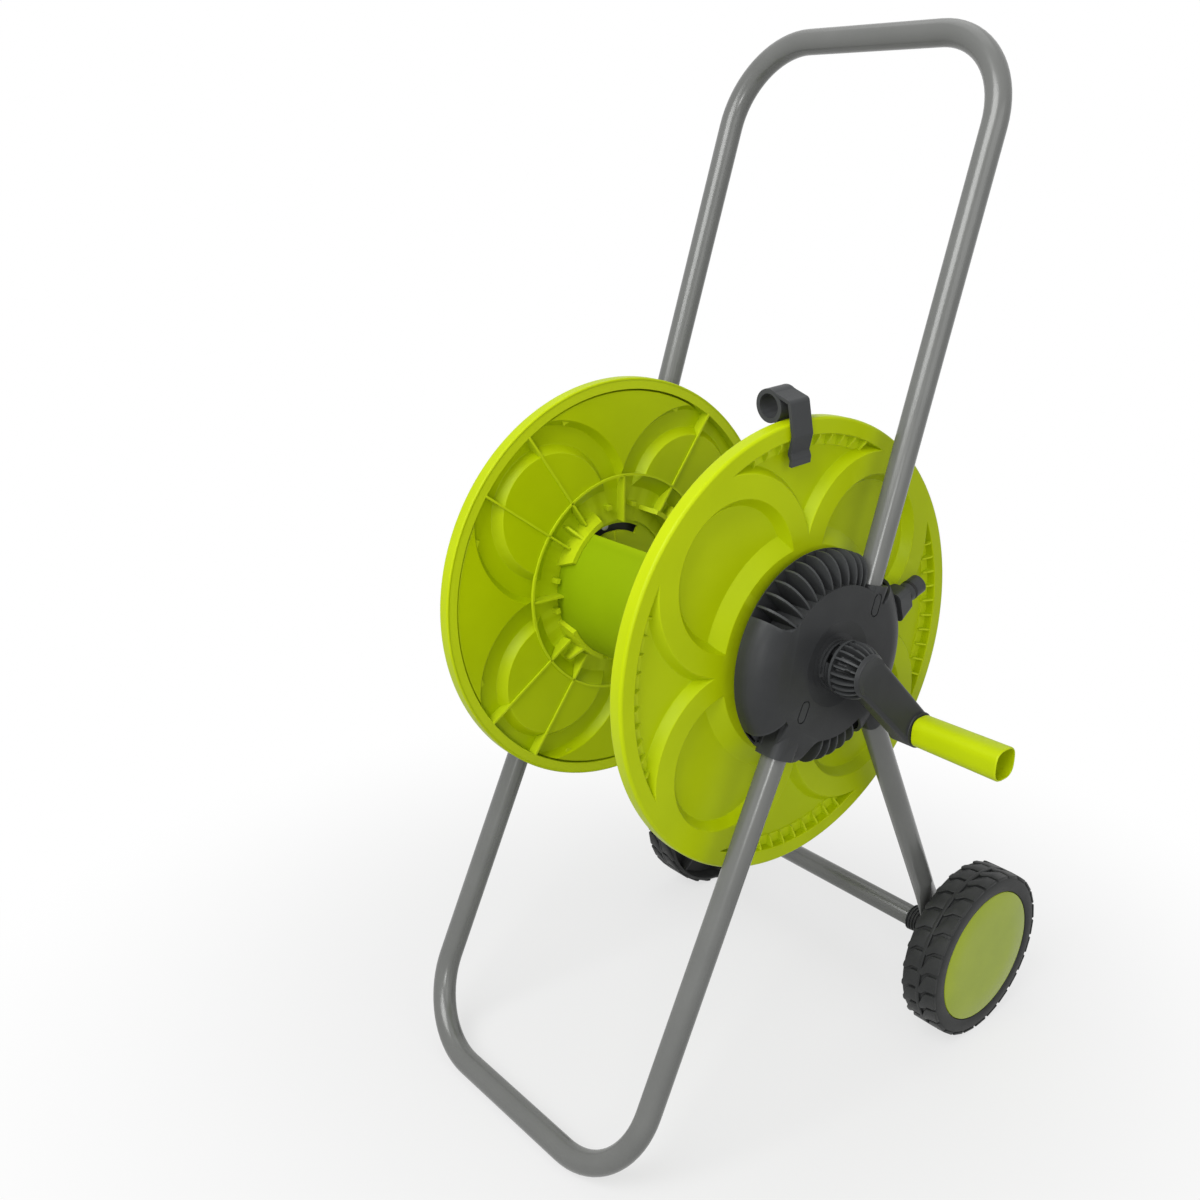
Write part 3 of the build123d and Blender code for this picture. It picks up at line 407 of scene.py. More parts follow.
def dress(piece: bpy.types.Object, node: str, finish: Finish | None = None) -> None:
    """Gives a piece its finish, its body and its CAD node.

    Args:
        piece: the finished mesh.
        node: the CAD node that it belongs to.
        finish: its finish if it isn't the slot's.
    """
    piece.name = f"{node}_dressed"
    piece.data.name = piece.name
    piece.data.materials.clear()
    piece.data.materials.append((finish or FINISH_OF_SLOT[SLOT_OF[node]]).material())
    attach(piece, BODY_OF[node])
    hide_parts(node)
    log.info("%s: %d faces", piece.name, len(piece.data.polygons))


def other_side(piece: bpy.types.Object) -> bpy.types.Object:
    """A mirrored copy for the far side, with its own mesh."""
    activate(piece)
    bpy.ops.object.duplicate(linked=False)
    twin = bpy.context.object
    twin.scale = (-1, 1, 1)
    apply_place(twin)
    bpy.ops.object.mode_set(mode="EDIT")
    bpy.ops.mesh.select_all(action="SELECT")
    bpy.ops.mesh.flip_normals()
    bpy.ops.object.mode_set(mode="OBJECT")
    return twin


@dataclass
class TubeFrame:
    """Bent steel tubes, rear legs and axle."""

    tube_r: float = 10.0
    tube_x: float = 138.5
    bend_r: float = 70.0
    sides: int = 40
    axle_half: float = 108.5
    bush_ribs: int = 8
    bush_end: float = 135.5
    handle_y: float = 29.0  # where each tube's line would meet the height of the reel axis
    stand_y: float = -21.9
    handle_lean: float = 17.24
    stand_lean: float = 24.07

    def bent(self, end: tuple[float, float], bar: tuple[float, float]) -> bpy.types.Object:
        """U tube through two ends and a cross bar.

        Args:
            end: y and z of both ends in millimetres.
            bar: y and z of the cross bar.

        Returns:
            The tube.
        """
        along = (mm(0, *bar) - mm(0, *end)).normalized()
        across = Vector((-1, 0, 0))
        normal = along.cross(across)
        deselect()
        bpy.ops.mesh.primitive_circle_add(vertices=self.sides, radius=mm(self.tube_r), fill_type="NGON")
        tube = bpy.context.object
        facing = along.to_track_quat("Z", "X").to_matrix().to_4x4()
        tube.matrix_world = Matrix.Translation(mm(self.tube_x, *end)) @ facing
        apply_place(tube)
        corner = mm(self.tube_x, *bar)
        straight = (corner - mm(self.tube_x, *end)).length - mm(self.bend_r)
        first = corner - along * mm(self.bend_r) + across * mm(self.bend_r)
        level = across * mm(2 * (self.tube_x - self.bend_r))
        second = first + level
        bpy.ops.object.mode_set(mode="EDIT")
        bpy.ops.mesh.select_all(action="SELECT")
        bpy.ops.mesh.extrude_region_move(TRANSFORM_OT_translate={"value": along * straight})
        bpy.ops.mesh.spin(steps=18, angle=-pi / 2, center=first, axis=normal)
        bpy.ops.mesh.extrude_region_move(TRANSFORM_OT_translate={"value": level})
        bpy.ops.mesh.spin(steps=18, angle=-pi / 2, center=second, axis=normal)
        bpy.ops.mesh.extrude_region_move(TRANSFORM_OT_translate={"value": -along * straight})
        bpy.ops.mesh.select_all(action="SELECT")
        bpy.ops.mesh.remove_doubles(threshold=1e-6)
        bpy.ops.mesh.normals_make_consistent(inside=False)
        bpy.ops.object.mode_set(mode="OBJECT")
        bpy.ops.object.shade_smooth_by_angle(angle=radians(40))
        return tube

    def bush(self) -> bpy.types.Object:
        """Ribbed plug between the cross tube and a rear leg."""
        start, end = self.axle_half + 0.2, self.bush_end
        line = [(start, 5.1), (start, 11.6), (start + 0.7, 12.4)]
        step = (end - start - 2.5) / self.bush_ribs
        for n in range(self.bush_ribs):
            x, r = start + 1.6 + step * n, 12.4 - 0.28 * n
            line += [(x, r), (x + 0.25, r - 1.1), (x + 0.4 * step, r - 1.2)]
            line += [(x + 0.4 * step + 0.25, r - 0.1), (x + 0.95 * step, r - 0.25)]
        line += [(end, 9.6), (end, 5.1), (start, 5.1)]
        return even_normals(lathe(line, WHEEL_Y, WHEEL_R, steps=64), 30.0)

    def build(self) -> None:
        """Models and dresses the frame."""
        slope, y = tan(radians(self.handle_lean)), self.handle_y
        dress(self.bent((y + 32 * slope, AXIS_H + 32), (y + 450 * slope, AXIS_H + 450)), "handle_tube")
        slope, y = tan(radians(self.stand_lean)), self.stand_y
        dress(self.bent((y - 18 * slope, AXIS_H - 18), (y - 395 * slope, self.tube_r)), "stand_tube")
        for node in ("left_leg", "right_leg", "axle_rod", "axle_push_nuts"):
            dress(of_solid(node), node)
        end = self.axle_half
        pipe = lathe(block(-end, end, self.tube_r - 1.2, self.tube_r), WHEEL_Y, WHEEL_R, steps=64)
        dress(soften(pipe, 0.25), "axle_tube")
        bush = self.bush()
        twin = other_side(bush)
        dress(bush, Side.LEFT.node("axle_bush"))
        dress(even_normals(twin), Side.RIGHT.node("axle_bush"))


def bar(
    x_in: float,
    x_out: float,
    r_in: float,
    r_out: float,
    thick: float,
    angle: float,
    y: float = 0.0,
    z: float = AXIS_H,
) -> bpy.types.Object:
    """Straight bar along a radius, in millimetres.

    Args:
        x_in: first plane along the axis.
        x_out: second plane along the axis.
        r_in: inner radius.
        r_out: outer radius.
        thick: thickness across the radius.
        angle: angle of the radius in degrees.
        y: place of the axis.
        z: place of the axis.

    Returns:
        The new mesh object.
    """
    turn, middle = radians(angle), (r_in + r_out) / 2
    deselect()
    bpy.ops.mesh.primitive_cube_add(
        size=1.0,
        location=mm((x_in + x_out) / 2, y + middle * cos(turn), z + middle * sin(turn)),
        rotation=(turn, 0, 0),
        scale=mm(x_out - x_in, r_out - r_in, thick),
    )
    return apply_place(bpy.context.object)


def prism(corners: Iterable[Vector], shift: Vector) -> bpy.types.Object:
    """Flat outline drawn out along a shift.

    Args:
        corners: the corners of the outline in metres.
        shift: way and length of the drawing, in metres.

    Returns:
        The new mesh object.
    """
    corners = list(corners)
    deselect()
    bpy.ops.mesh.primitive_circle_add(vertices=len(corners), radius=mm(5), fill_type="NGON")
    piece = apply_place(bpy.context.object)
    for vertex, corner in zip(piece.data.vertices, corners):
        vertex.co = corner
    bpy.ops.object.mode_set(mode="EDIT")
    bpy.ops.mesh.select_all(action="SELECT")
    bpy.ops.mesh.extrude_region_move(TRANSFORM_OT_translate={"value": shift})
    bpy.ops.mesh.select_all(action="SELECT")
    bpy.ops.mesh.normals_make_consistent(inside=False)
    bpy.ops.object.mode_set(mode="OBJECT")
    return piece


def plate(outline: Iterable[tuple[float, float]], angle: float, thick: float = 1.8) -> bpy.types.Object:
    """Flat rib on a radius of the reel.

    Args:
        outline: its (x, radius) corners in millimetres.
        angle: angle of the radius in degrees.
        thick: its thickness.

    Returns:
        The rib.
    """
    turn = radians(angle)
    across = mm(0, -thick * sin(turn), thick * cos(turn))
    return prism([mm(x, r * cos(turn), AXIS_H + r * sin(turn)) - across / 2 for x, r in outline], across)


def block(x_in: float, x_out: float, r_in: float, r_out: float) -> list[tuple[float, float]]:
    """Closed rectangle of (x, radius) points for the lathe."""
    return [(x_in, r_in), (x_out, r_in), (x_out, r_out), (x_in, r_out), (x_in, r_in)]


def rounded_drop(depth: float, slope: float, soft: float, level: float) -> float:
    """Sideways place of a rounded flank at a depth, positive towards the raised side.

    Args:
        depth: height of the flank.
        slope: slope of the flank from the axis, in degrees.
        soft: radius of its upper and lower edge.
        level: depth below the upper edge.

    Returns:
        The offset from the sharp upper edge.
    """
    lean = tan(radians(slope))
    tangent = soft * tan(radians(90 - slope) / 2)
    reach = tangent * cos(radians(slope))
    if level < reach:
        return tangent - sqrt(soft**2 - (soft - level) ** 2)
    if level > depth - reach:
        return sqrt(soft**2 - (soft - depth + level) ** 2) - tangent - depth * lean
    return -level * lean


@dataclass
class EmbossedFace:
    """One face of a flange: a flat ring with four sunk fields and four dished petals."""

    top_x: float
    rim_r: float
    middle_r: float
    field_r: float
    petal_r: float
    dish_r: float
    ring_r: float
    inward: bool = False
    petal_dist: float = 102.0
    depth: float = 8.0
    soft: float = 1.1
    flank: float = 32.0
    dish_flank: float = 36.9
    ring_flank: float = 58.4
    rim_flank: float = 4.0
    steps: tuple[int, int] = (44, 40)

    def crossing(self, round_r: float, petal_r: float) -> float:
        """Angle from a petal's middle at which its circle meets one about the axis."""
        dist = self.petal_dist
        return acos((round_r**2 + dist**2 - petal_r**2) / (2 * round_r * dist))

    def petal_arc(
        self,
        middle: float,
        petal_r: float,
        start: tuple[float, float],
        end: tuple[float, float],
        far: bool,
    ) -> list[tuple[float, float]]:
        """Points on a petal's circle between two of its points.

        Args:
            middle: angle of the petal in radians.
            petal_r: radius of the circle.
            start: first point as (y, z).
            end: last point, which is left out.
            far: whether the arc takes the longer way round.

        Returns:
            The points as (y, z).
        """
        cy, cz = self.petal_dist * cos(middle), self.petal_dist * sin(middle)
        a = atan2(start[1] - cz, start[0] - cy)
        turn = (atan2(end[1] - cz, end[0] - cy) - a + pi) % (2 * pi) - pi
        if far:
            turn -= 2 * pi if turn > 0 else -2 * pi
        count = self.steps[0]
        turns = [a + turn * n / count for n in range(count)]
        return [(cy + petal_r * cos(t), cz + petal_r * sin(t)) for t in turns]

    def axis_arc(self, round_r: float, start: float, end: float) -> list[tuple[float, float]]:
        """Points on a circle about the axis, its last one left out."""
        count = self.steps[1]
        turns = [start + (end - start) * n / count for n in range(count)]
        return [(round_r * cos(turn), round_r * sin(turn)) for turn in turns]

    def field(self, quarter: int, level: float) -> list[tuple[float, float]]:
        """Outline of a sunk field between two petals at a depth."""
        middle = quarter * pi / 2
        petal_r = self.petal_r - rounded_drop(self.depth, self.flank, self.soft, level)
        round_r = self.field_r + rounded_drop(self.depth, self.rim_flank, self.soft, level)
        half = self.petal_dist * cos(pi / 4)
        reach = half + sqrt(petal_r**2 - half**2)
        cusp = (reach * cos(middle), reach * sin(middle))
        open_angle = pi / 4 - self.crossing(round_r, petal_r)
        turns = (middle + open_angle, middle - open_angle)
        corners = [(round_r * cos(t), round_r * sin(t)) for t in turns]
        line = self.petal_arc(middle + pi / 4, petal_r, cusp, corners[0], False)
        line += self.axis_arc(round_r, middle + open_angle, middle - open_angle)
        return line + self.petal_arc(middle - pi / 4, petal_r, corners[1], cusp, False)

    def dish(self, quarter: int, level: float) -> list[tuple[float, float]]:
        """Outline of a petal's dished middle at a depth."""
        middle = quarter * pi / 2 + pi / 4
        dish_r = self.dish_r + rounded_drop(self.depth, self.dish_flank, self.soft, level)
        round_r = self.ring_r - rounded_drop(self.depth, self.ring_flank, self.soft, level)
        half = self.crossing(round_r, dish_r)
        corners = [(round_r * cos(middle + side), round_r * sin(middle + side)) for side in (half, -half)]
        line = self.petal_arc(middle, dish_r, corners[1], corners[0], True)
        return line + self.axis_arc(round_r, middle + half, middle - half)

    def build(self) -> bpy.types.Object:
        """Models the face as rings of points that step down into each sunk area."""
        ends = [self.soft * part for part in (0.0, 0.006, 0.03, 0.12, 0.28, 0.5)]
        levels = ends + [self.depth * part for part in (0.3, 0.5, 0.7)]
        levels += [self.depth - end for end in reversed(ends)]
        levels = sorted(set(round(level, 4) for level in levels))
        cage = bmesh.new()
        border = []
        for round_r, count in ((self.rim_r, 256), (self.middle_r, 128)):
            turns = [2 * pi * n / count for n in range(count)]
            places = [mm(self.top_x, round_r * cos(t), AXIS_H + round_r * sin(t)) for t in turns]
            loop = [cage.verts.new(place) for place in places]
            border += [cage.edges.new((a, b)) for a, b in zip(loop, loop[1:] + loop[:1])]
        for quarter in range(4):
            for outline in (self.field, self.dish):
                rings = []
                for level in levels:
                    points = outline(quarter, level)
                    rings.append([cage.verts.new(mm(self.top_x - level, y, AXIS_H + z)) for y, z in points])
                for upper, lower in zip(rings, rings[1:]):
                    for n in range(len(upper)):
                        cage.faces.new((upper[n - 1], upper[n], lower[n], lower[n - 1]))
                cage.faces.new(rings[-1])
                border += [cage.edges.get((a, b)) for a, b in zip(rings[0], rings[0][1:] + rings[0][:1])]
        bmesh.ops.triangle_fill(cage, edges=border, use_beauty=True, use_dissolve=False, normal=(1, 0, 0))
        bmesh.ops.recalc_face_normals(cage, faces=cage.faces)
        outwards = sum(face.normal.x * face.calc_area() for face in cage.faces) > 0
        if outwards == self.inward:
            bmesh.ops.reverse_faces(cage, faces=cage.faces)
        made = bpy.data.meshes.new("embossed_face")
        cage.to_mesh(made)
        cage.free()
        piece = bpy.data.objects.new("embossed_face", made)
        bpy.context.scene.collection.objects.link(piece)
        return piece


@dataclass
class ReelFlange:
    """Embossed flange with its rim, ladders of rungs, ribs, cup and claws for the drum."""

    radius: float = 180.0
    inner_x: float = 102.0
    outer_x: float = 114.0
    wall: float = 2.5
    sunk: float = 8.0
    field_r: float = 167.0
    petal_r: float = 75.0
    dish_r: float = 57.0
    ring_r: float = 84.0
    rim_round: float = 2.6
    rungs: int = 10
    ladder_half: float = 23.0
    cup_r: float = 55.0
    cup_out: float = 116.3
    hub_r: float = 17.0
    spindle_r: float = 12.05
    claw_in: float = 66.3
    claw_out: float = 70.5
    claw_half: float = 24.0
    window_r: tuple[float, float] = (45.0, 52.0)
    window_half: float = 29.0
    hoop_r: tuple[float, float] = (96.1, 97.9)
    rim_back_r: tuple[float, float] = (170.5, 177.7)

    def sheet(self) -> bpy.types.Object:
        """Front and back of the embossed sheet, joined round the rim and the middle."""
        shift = 1.2 * self.wall
        middle_r = self.cup_r + self.wall
        front = EmbossedFace(
            self.outer_x,
            self.radius - self.rim_round,
            middle_r,
            self.field_r,
            self.petal_r,
            self.dish_r,
            self.ring_r,
        )
        back = EmbossedFace(
            self.outer_x - self.wall,
            self.radius - self.wall,
            middle_r,
            self.field_r + self.wall,
            self.petal_r - shift + self.wall * tan(radians(EmbossedFace.flank)),
            self.dish_r + shift - self.wall * tan(radians(EmbossedFace.dish_flank)),
            self.ring_r - shift + self.wall * tan(radians(EmbossedFace.ring_flank)),
            inward=True,
        )
        edge = self.rim_round
        turns = [pi / 2 * n / 8 for n in range(8, -1, -1)]
        corner = [(self.outer_x - edge + edge * sin(t), self.radius - edge + edge * cos(t)) for t in turns]
        rim = lathe(
            corner
            + [
                (self.inner_x + 1.2, self.radius),
                (self.inner_x + 0.4, self.radius - 0.3),
                (self.inner_x, self.radius - 1.0),
                (self.inner_x, self.radius - 1.8),
                (self.inner_x + 0.3, self.radius - self.wall + 0.1),
                (self.inner_x + 0.8, self.radius - self.wall),
                (self.outer_x - self.wall, self.radius - self.wall),
            ],
            steps=256,
        )
        hole = lathe([(self.outer_x, middle_r), (self.outer_x - self.wall, middle_r)], steps=128)
        sheet = join(front.build(), back.build(), rim, hole)
        bpy.ops.object.mode_set(mode="EDIT")
        bpy.ops.mesh.select_all(action="SELECT")
        bpy.ops.mesh.remove_doubles(threshold=1e-5)
        bpy.ops.mesh.select_all(action="SELECT")
        bpy.ops.mesh.normals_make_consistent(inside=False)
        bpy.ops.object.mode_set(mode="OBJECT")
        bpy.ops.object.shade_smooth_by_angle(angle=radians(40))
        return sheet

    def cup(self) -> bpy.types.Object:
        """Middle cup with its hub and four windows."""
        floor = self.outer_x - self.wall
        cup = lathe(
            [
                (floor, self.cup_r + 2.5),
                (self.cup_out, self.cup_r + 2.5),
                (self.cup_out, self.spindle_r),
                (self.cup_out - 12, self.spindle_r),
                (self.cup_out - 12, self.hub_r),
                (self.cup_out - 2.5, self.hub_r),
                (self.cup_out - 2.5, self.cup_r),
                (floor, self.cup_r),
                (floor, self.cup_r + 2.5),
            ]
        )
        for quarter in range(4):
            window = block(floor - 5, self.cup_out + 1, *self.window_r)
            half = self.window_half
            carve(cup, lathe(window, start=90 * quarter - half, sweep=2 * half, steps=24))
        return cup

    def claw(self, middle: float) -> bpy.types.Object:
        """Curved claw that holds the drum's end, its ends drawn in towards the tip.

        Args:
            middle: angle of its middle in degrees.

        Returns:
            The claw.
        """
        root, tip = self.outer_x - self.wall + 0.5, self.inner_x - 8.5
        half = self.claw_half
        section = block(tip, root, self.claw_in, self.claw_out)
        claw = lathe(section, start=middle - half, sweep=2 * half, steps=24)
        for vertex in claw.data.vertices:
            y, z = vertex.co.y, vertex.co.z - mm(AXIS_H)
            turn, r = atan2(z, y), sqrt(y * y + z * z)
            off = (turn - radians(middle) + pi) % (2 * pi) - pi
            rise = (mm(root) - vertex.co.x) / mm(root - tip)
            off *= 1 - 0.24 * rise
            vertex.co.y = r * cos(radians(middle) + off)
            vertex.co.z = mm(AXIS_H) + r * sin(radians(middle) + off)
        return claw

    def details(self) -> bpy.types.Object:
        """What stands on the sheet: ladders on its front, ribs and claws on its back."""
        top, low = self.outer_x - self.wall + 0.8, self.outer_x - self.sunk - self.wall + 0.8
        pieces = [self.cup(), lathe(block(self.inner_x, low + 0.4, *self.hoop_r), steps=160)]
        floor = self.outer_x - self.sunk
        # closed back of the rim, a shadow line away from the sunk fields
        back = block(self.inner_x + 0.4, self.outer_x - self.wall + 0.3, *self.rim_back_r)
        pieces.append(lathe(back, steps=256))
        for quarter in range(4):
            ledge = [(floor - 0.6, 158.0), (floor + 0.7, 158.5), (floor + 0.9, 168.0)]
            ledge += [(floor - 0.6, 168.0), (floor - 0.6, 158.0)]
            half = self.ladder_half
            pieces.append(lathe(ledge, start=90 * quarter - half, sweep=2 * half, steps=40))
            for step in range(self.rungs):
                angle = 90 * quarter + (self.ladder_half - 2) * (2 * step / (self.rungs - 1) - 1)
                rung = [(floor - 0.5, 158.7), (floor + 2.6, 158.7), (floor + 7.2, 165.4)]
                rung += [(floor + 7.2, 168.0), (floor - 0.5, 168.0)]
                pieces.append(plate(rung, angle, 1.5))
            for side in (-11, 11):
                root = self.outer_x - self.wall + 0.5
                pieces.append(bar(self.inner_x + 3, root, 68.6, 72.4, 4.5, 90 * quarter + side))
            spoke = ((self.inner_x, 56), (top, 56), (top, 84), (low, 97), (self.inner_x, 97))
            pieces.append(plate(spoke, 90 * quarter))
            pieces.append(self.claw(90 * quarter + 45))
            web = ((self.inner_x - 7, 69.5), (top, 69.5), (top, 84), (self.inner_x + 2, 84))
            for side in (-10, 10):
                line = [(self.inner_x, 72), (top, 72), (top, 82), (low, 96)]
                line += [(low, 148), (top, 157), (top, 170.8), (self.inner_x, 170.8)]
                pieces.append(plate(line, 90 * quarter + 45 + side))
            pieces.append(plate(web, 90 * quarter + 45, 2.2))
        return soften(join(*pieces), 0.3, angle=40.0)

    def build(self) -> None:
        """Models one flange and mirrors it for the other side."""
        left = join(self.sheet(), self.details())
        even_normals(left)
        right = other_side(left)
        even_normals(right)
        dress(left, Side.LEFT.node("flange"))
        dress(right, Side.RIGHT.node("flange"))


@dataclass
class CartWheel:
    """Moulded wheel with two staggered rows of hooked lugs, and its glossy cap."""

    inner_x: float = 157.0
    outer_x: float = 195.0
    hub_in: float = 142.5
    hub_r: float = 12.0
    bore_r: float = 5.05
    web_x: float = 173.0
    cap_r: float = 63.5
    cap_t: float = 3.6
    tread_floor: float = 77.6
    lugs: int = 26
    ribs: int = 8
    stagger: float = 0.91  # of a lug's pitch, between the two rows

    def carcass(self) -> bpy.types.Object:
        """Turned body of the wheel with ribs on its open side."""
        seat = self.outer_x - self.cap_t - 0.4
        floor, inside = self.tread_floor, WHEEL_R - 7.0
        body = lathe(
            [
                (self.hub_in, self.bore_r),
                (self.hub_in, self.hub_r - 3),
                (self.web_x - 12, self.hub_r),
                (self.web_x, self.hub_r + 1),
                (self.web_x, inside),
                (self.inner_x + 1, inside + 1.5),
                (self.inner_x, inside + 2.5),
                (self.inner_x + 1.2, floor),
                (self.outer_x - 1.2, floor),
                (self.outer_x, floor - 3),
                (self.outer_x, self.cap_r + 1.2),
                (self.outer_x - 0.6, self.cap_r + 0.3),
                (seat, self.cap_r + 0.3),
                (seat, self.cap_r - 4),
                (self.web_x + 3, self.cap_r - 4),
                (self.web_x + 3, self.hub_r),
                (self.web_x + 7.5, self.hub_r),
                (self.web_x + 7.5, self.bore_r),
                (self.hub_in, self.bore_r),
            ],
            WHEEL_Y,
            WHEEL_R,
            steps=128,
        )
        rib = (self.inner_x + 4, self.web_x + 1, self.hub_r - 1, inside + 1, 2.2)
        ribs = [bar(*rib, 360 * n / self.ribs, WHEEL_Y, WHEEL_R) for n in range(self.ribs)]
        middle = (self.inner_x + self.outer_x) / 2
        crown = [(middle - 2.2, floor - 1), (middle - 1.9, WHEEL_R - 0.3), (middle - 1.2, WHEEL_R)]
        crown += [(middle + 1.2, WHEEL_R), (middle + 1.9, WHEEL_R - 0.3), (middle + 2.2, floor - 1)]
        crown.append((middle - 2.2, floor - 1))
        ribs.append(lathe(crown, WHEEL_Y, WHEEL_R, steps=128))
        return soften(join(body, *ribs), 0.5, angle=38.0)

    def lug(self, row: int) -> bpy.types.Object:
        """One hooked lug at the top of the wheel, bent to the tread.

        Args:
            row: 0 for the inner edge, 1 for the outer edge.

        Returns:
            The lug.
        """
        pitch = 2 * pi * WHEEL_R / self.lugs
        gap = 3.2
        outline = [
            (0.0, 0.0),
            (0.0, pitch - gap),
            (9.0, pitch - gap + 1.0),
            (15.5, pitch + 4.0),
            (18.2, pitch + 2.2),
            (17.6, pitch - 2.0),
            (12.0, 4.6),
            (9.6, 1.0),
        ]
        edge = self.outer_x - 0.2 if row else self.inner_x + 19.0
        shoulder_x = self.outer_x if row else self.inner_x
        base = WHEEL_R + self.tread_floor - 0.4
        corners = [mm(edge - across, WHEEL_Y - along, base) for across, along in outline]
        lug = prism(corners, mm(0, 0, WHEEL_R - self.tread_floor + 0.4))
        soften(lug, 0.9, angle=30.0)
        for vertex in lug.data.vertices:
            turn = (vertex.co.y - mm(WHEEL_Y)) / mm(WHEEL_R)
            reach = vertex.co.z - mm(WHEEL_R)
            shoulder = max(0.0, mm(3.0) - abs(vertex.co.x - mm(shoulder_x))) / mm(3.0)
            reach -= mm(1.3) * shoulder**2 if reach > mm(self.tread_floor) else 0.0
            vertex.co.y = mm(WHEEL_Y) + reach * sin(turn)
            vertex.co.z = mm(WHEEL_R) + reach * cos(turn)
        return lug

    def tread(self) -> bpy.types.Object:
        """Both rows of lugs."""
        copies = []
        for row in (0, 1):
            first = self.lug(row)
            for n in range(self.lugs):
                twin = bpy.data.objects.new("lug", first.data.copy())
                bpy.context.scene.collection.objects.link(twin)
                turn = 2 * pi * (n + self.stagger * row) / self.lugs
                centre = Matrix.Translation(mm(0, WHEEL_Y, WHEEL_R))
                twin.data.transform(centre @ Matrix.Rotation(turn, 4, "X") @ centre.inverted())
                copies.append(twin)
            bpy.data.objects.remove(first)
        return join(*copies)

    def cap(self) -> bpy.types.Object:
        """Glossy plain cap."""
        seat = self.outer_x - self.cap_t - 0.4
        face = seat + self.cap_t
        cap = lathe(
            [
                (seat, 0.0),
                (seat, self.cap_r - 0.6),
                (seat + 0.6, self.cap_r),
                (face - 1.2, self.cap_r),
                (face - 0.3, self.cap_r - 0.5),
                (face, self.cap_r - 1.6),
                (face, 40.0),
                (face, 20.0),
                (face, 0.0),
            ],
            WHEEL_Y,
            WHEEL_R,
            steps=160,
        )
        activate(cap)
        bpy.ops.object.shade_smooth_by_angle(angle=radians(40))
        return cap

    def build(self) -> None:
        """Models one wheel and mirrors it for the other side."""
        wheel = join(self.carcass(), self.tread())
        bpy.ops.object.shade_smooth_by_angle(angle=radians(38))
        cap = self.cap()
        for piece, node in ((wheel, "wheel"), (cap, "wheel_cap")):
            twin = other_side(piece)
            bpy.ops.object.shade_smooth_by_angle(angle=radians(38))
            dress(piece, Side.LEFT.node(node))
            dress(twin, Side.RIGHT.node(node))


def ease(value: float, low: float, high: float) -> float:
    """Smooth step from 0 to 1 between two values."""
    part = min(1.0, max(0.0, (value - low) / (high - low)))
    return part * part * (3 - 2 * part)


@dataclass
class SideCover:
    """Moulded side covers with their fans, inner plates, screws and the water inlet."""

    fuller: float = 4.0
    rim_lift: float = 3.0
    fan_turn: float = 6.5
    recess_r: tuple[float, float] = (34.0, 24.0)
    recess_x: float = 148.9
    pocket_from: float = 211.0

    def pocketed(self, node: str) -> bpy.types.Object:
        """A cover with the plain pocket in front of the foot's socket cut out of its dome.

        Args:
            node: the CAD node.

        Returns:
            The cover, with the pocket's floor and walls.
        """
        cover = of_solid(node)
        away = 1 if node.startswith("left") else -1
        turn = radians(self.pocket_from)
        start = [(r * cos(turn), r * sin(turn)) for r in (62.0, 100.0)]
        wedge = [*start, (-68.8, -74.9), (-51.2, -35.7)]
        carve(cover, prism([mm(away * 127, y, AXIS_H + z) for y, z in wedge], mm(away * 30, 0, 0)))
        start = [(r * cos(turn), r * sin(turn)) for r in (60.0, 80.5)]
        wedge = [*start, (-49.8, -62.6), (-41.0, -43.0)]
        floor = prism([mm(away * 124, y, AXIS_H + z) for y, z in wedge], mm(away * 3, 0, 0))
        dome = [(124, 61), (149.5, 61), (149.6, 64), (148, 70), (144.5, 75), (139, 79)]
        dome += [(133, 80.5), (124, 80)]
        end = plate([(away * x, r) for x, r in dome], self.pocket_from - 0.8, 1.6)
        wall = block(away * 124, away * 149.5, 60.6, 62.2)
        inner = lathe(wall, start=self.pocket_from - 1, sweep=7, steps=6)
        return join(cover, floor, end, inner)

    def shaped(self, node: str) -> bpy.types.Object:
        """A cover with its fuller outline, its fan turned back and a soft dish round the hub.

        Args:
            node: the CAD node.

        Returns:
            The cover.
        """
        cover = self.pocketed(node)
        for vertex in cover.data.vertices:
            side = 1 if vertex.co.x > 0 else -1
            x, y, z = abs(vertex.co.x) * 1000, vertex.co.y * 1000, vertex.co.z * 1000 - AXIS_H
            r, turn = sqrt(y * y + z * z), atan2(z, y)
            around = turn * 180 / pi % 360
            if abs(r - self.recess_r[0]) < 0.3 and 149 < x < 150.5:
                r, x = self.recess_r[1], self.recess_x
            elif abs(r - 20.0) < 0.3 and 149 < x < 150.5:
                x = self.recess_x
            in_fan = ease(around, 62, 85) * (1 - ease(around, 155, 182)) * ease(r, 40, 56)
            turn -= radians(self.fan_turn) * in_fan
            x += self.rim_lift * max(0.0, 126 - x) / 4 * ease(r, 70, 80)
            r += self.fuller * ease(r, 58, 84)
            vertex.co = mm(side * x, r * cos(turn), AXIS_H + r * sin(turn))
        return even_normals(cover, 33.0)

    def build(self) -> None:
        """Dresses both covers and what they hold."""
        for side in Side:
            dress(self.shaped(side.node("cover")), side.node("cover"))
            dress(of_solid(side.node("inner_plate")), side.node("inner_plate"))
        for node in ("cover_screws", "inlet_swivel", "inlet_seal", "spindle_seals"):
            dress(of_solid(node), node)


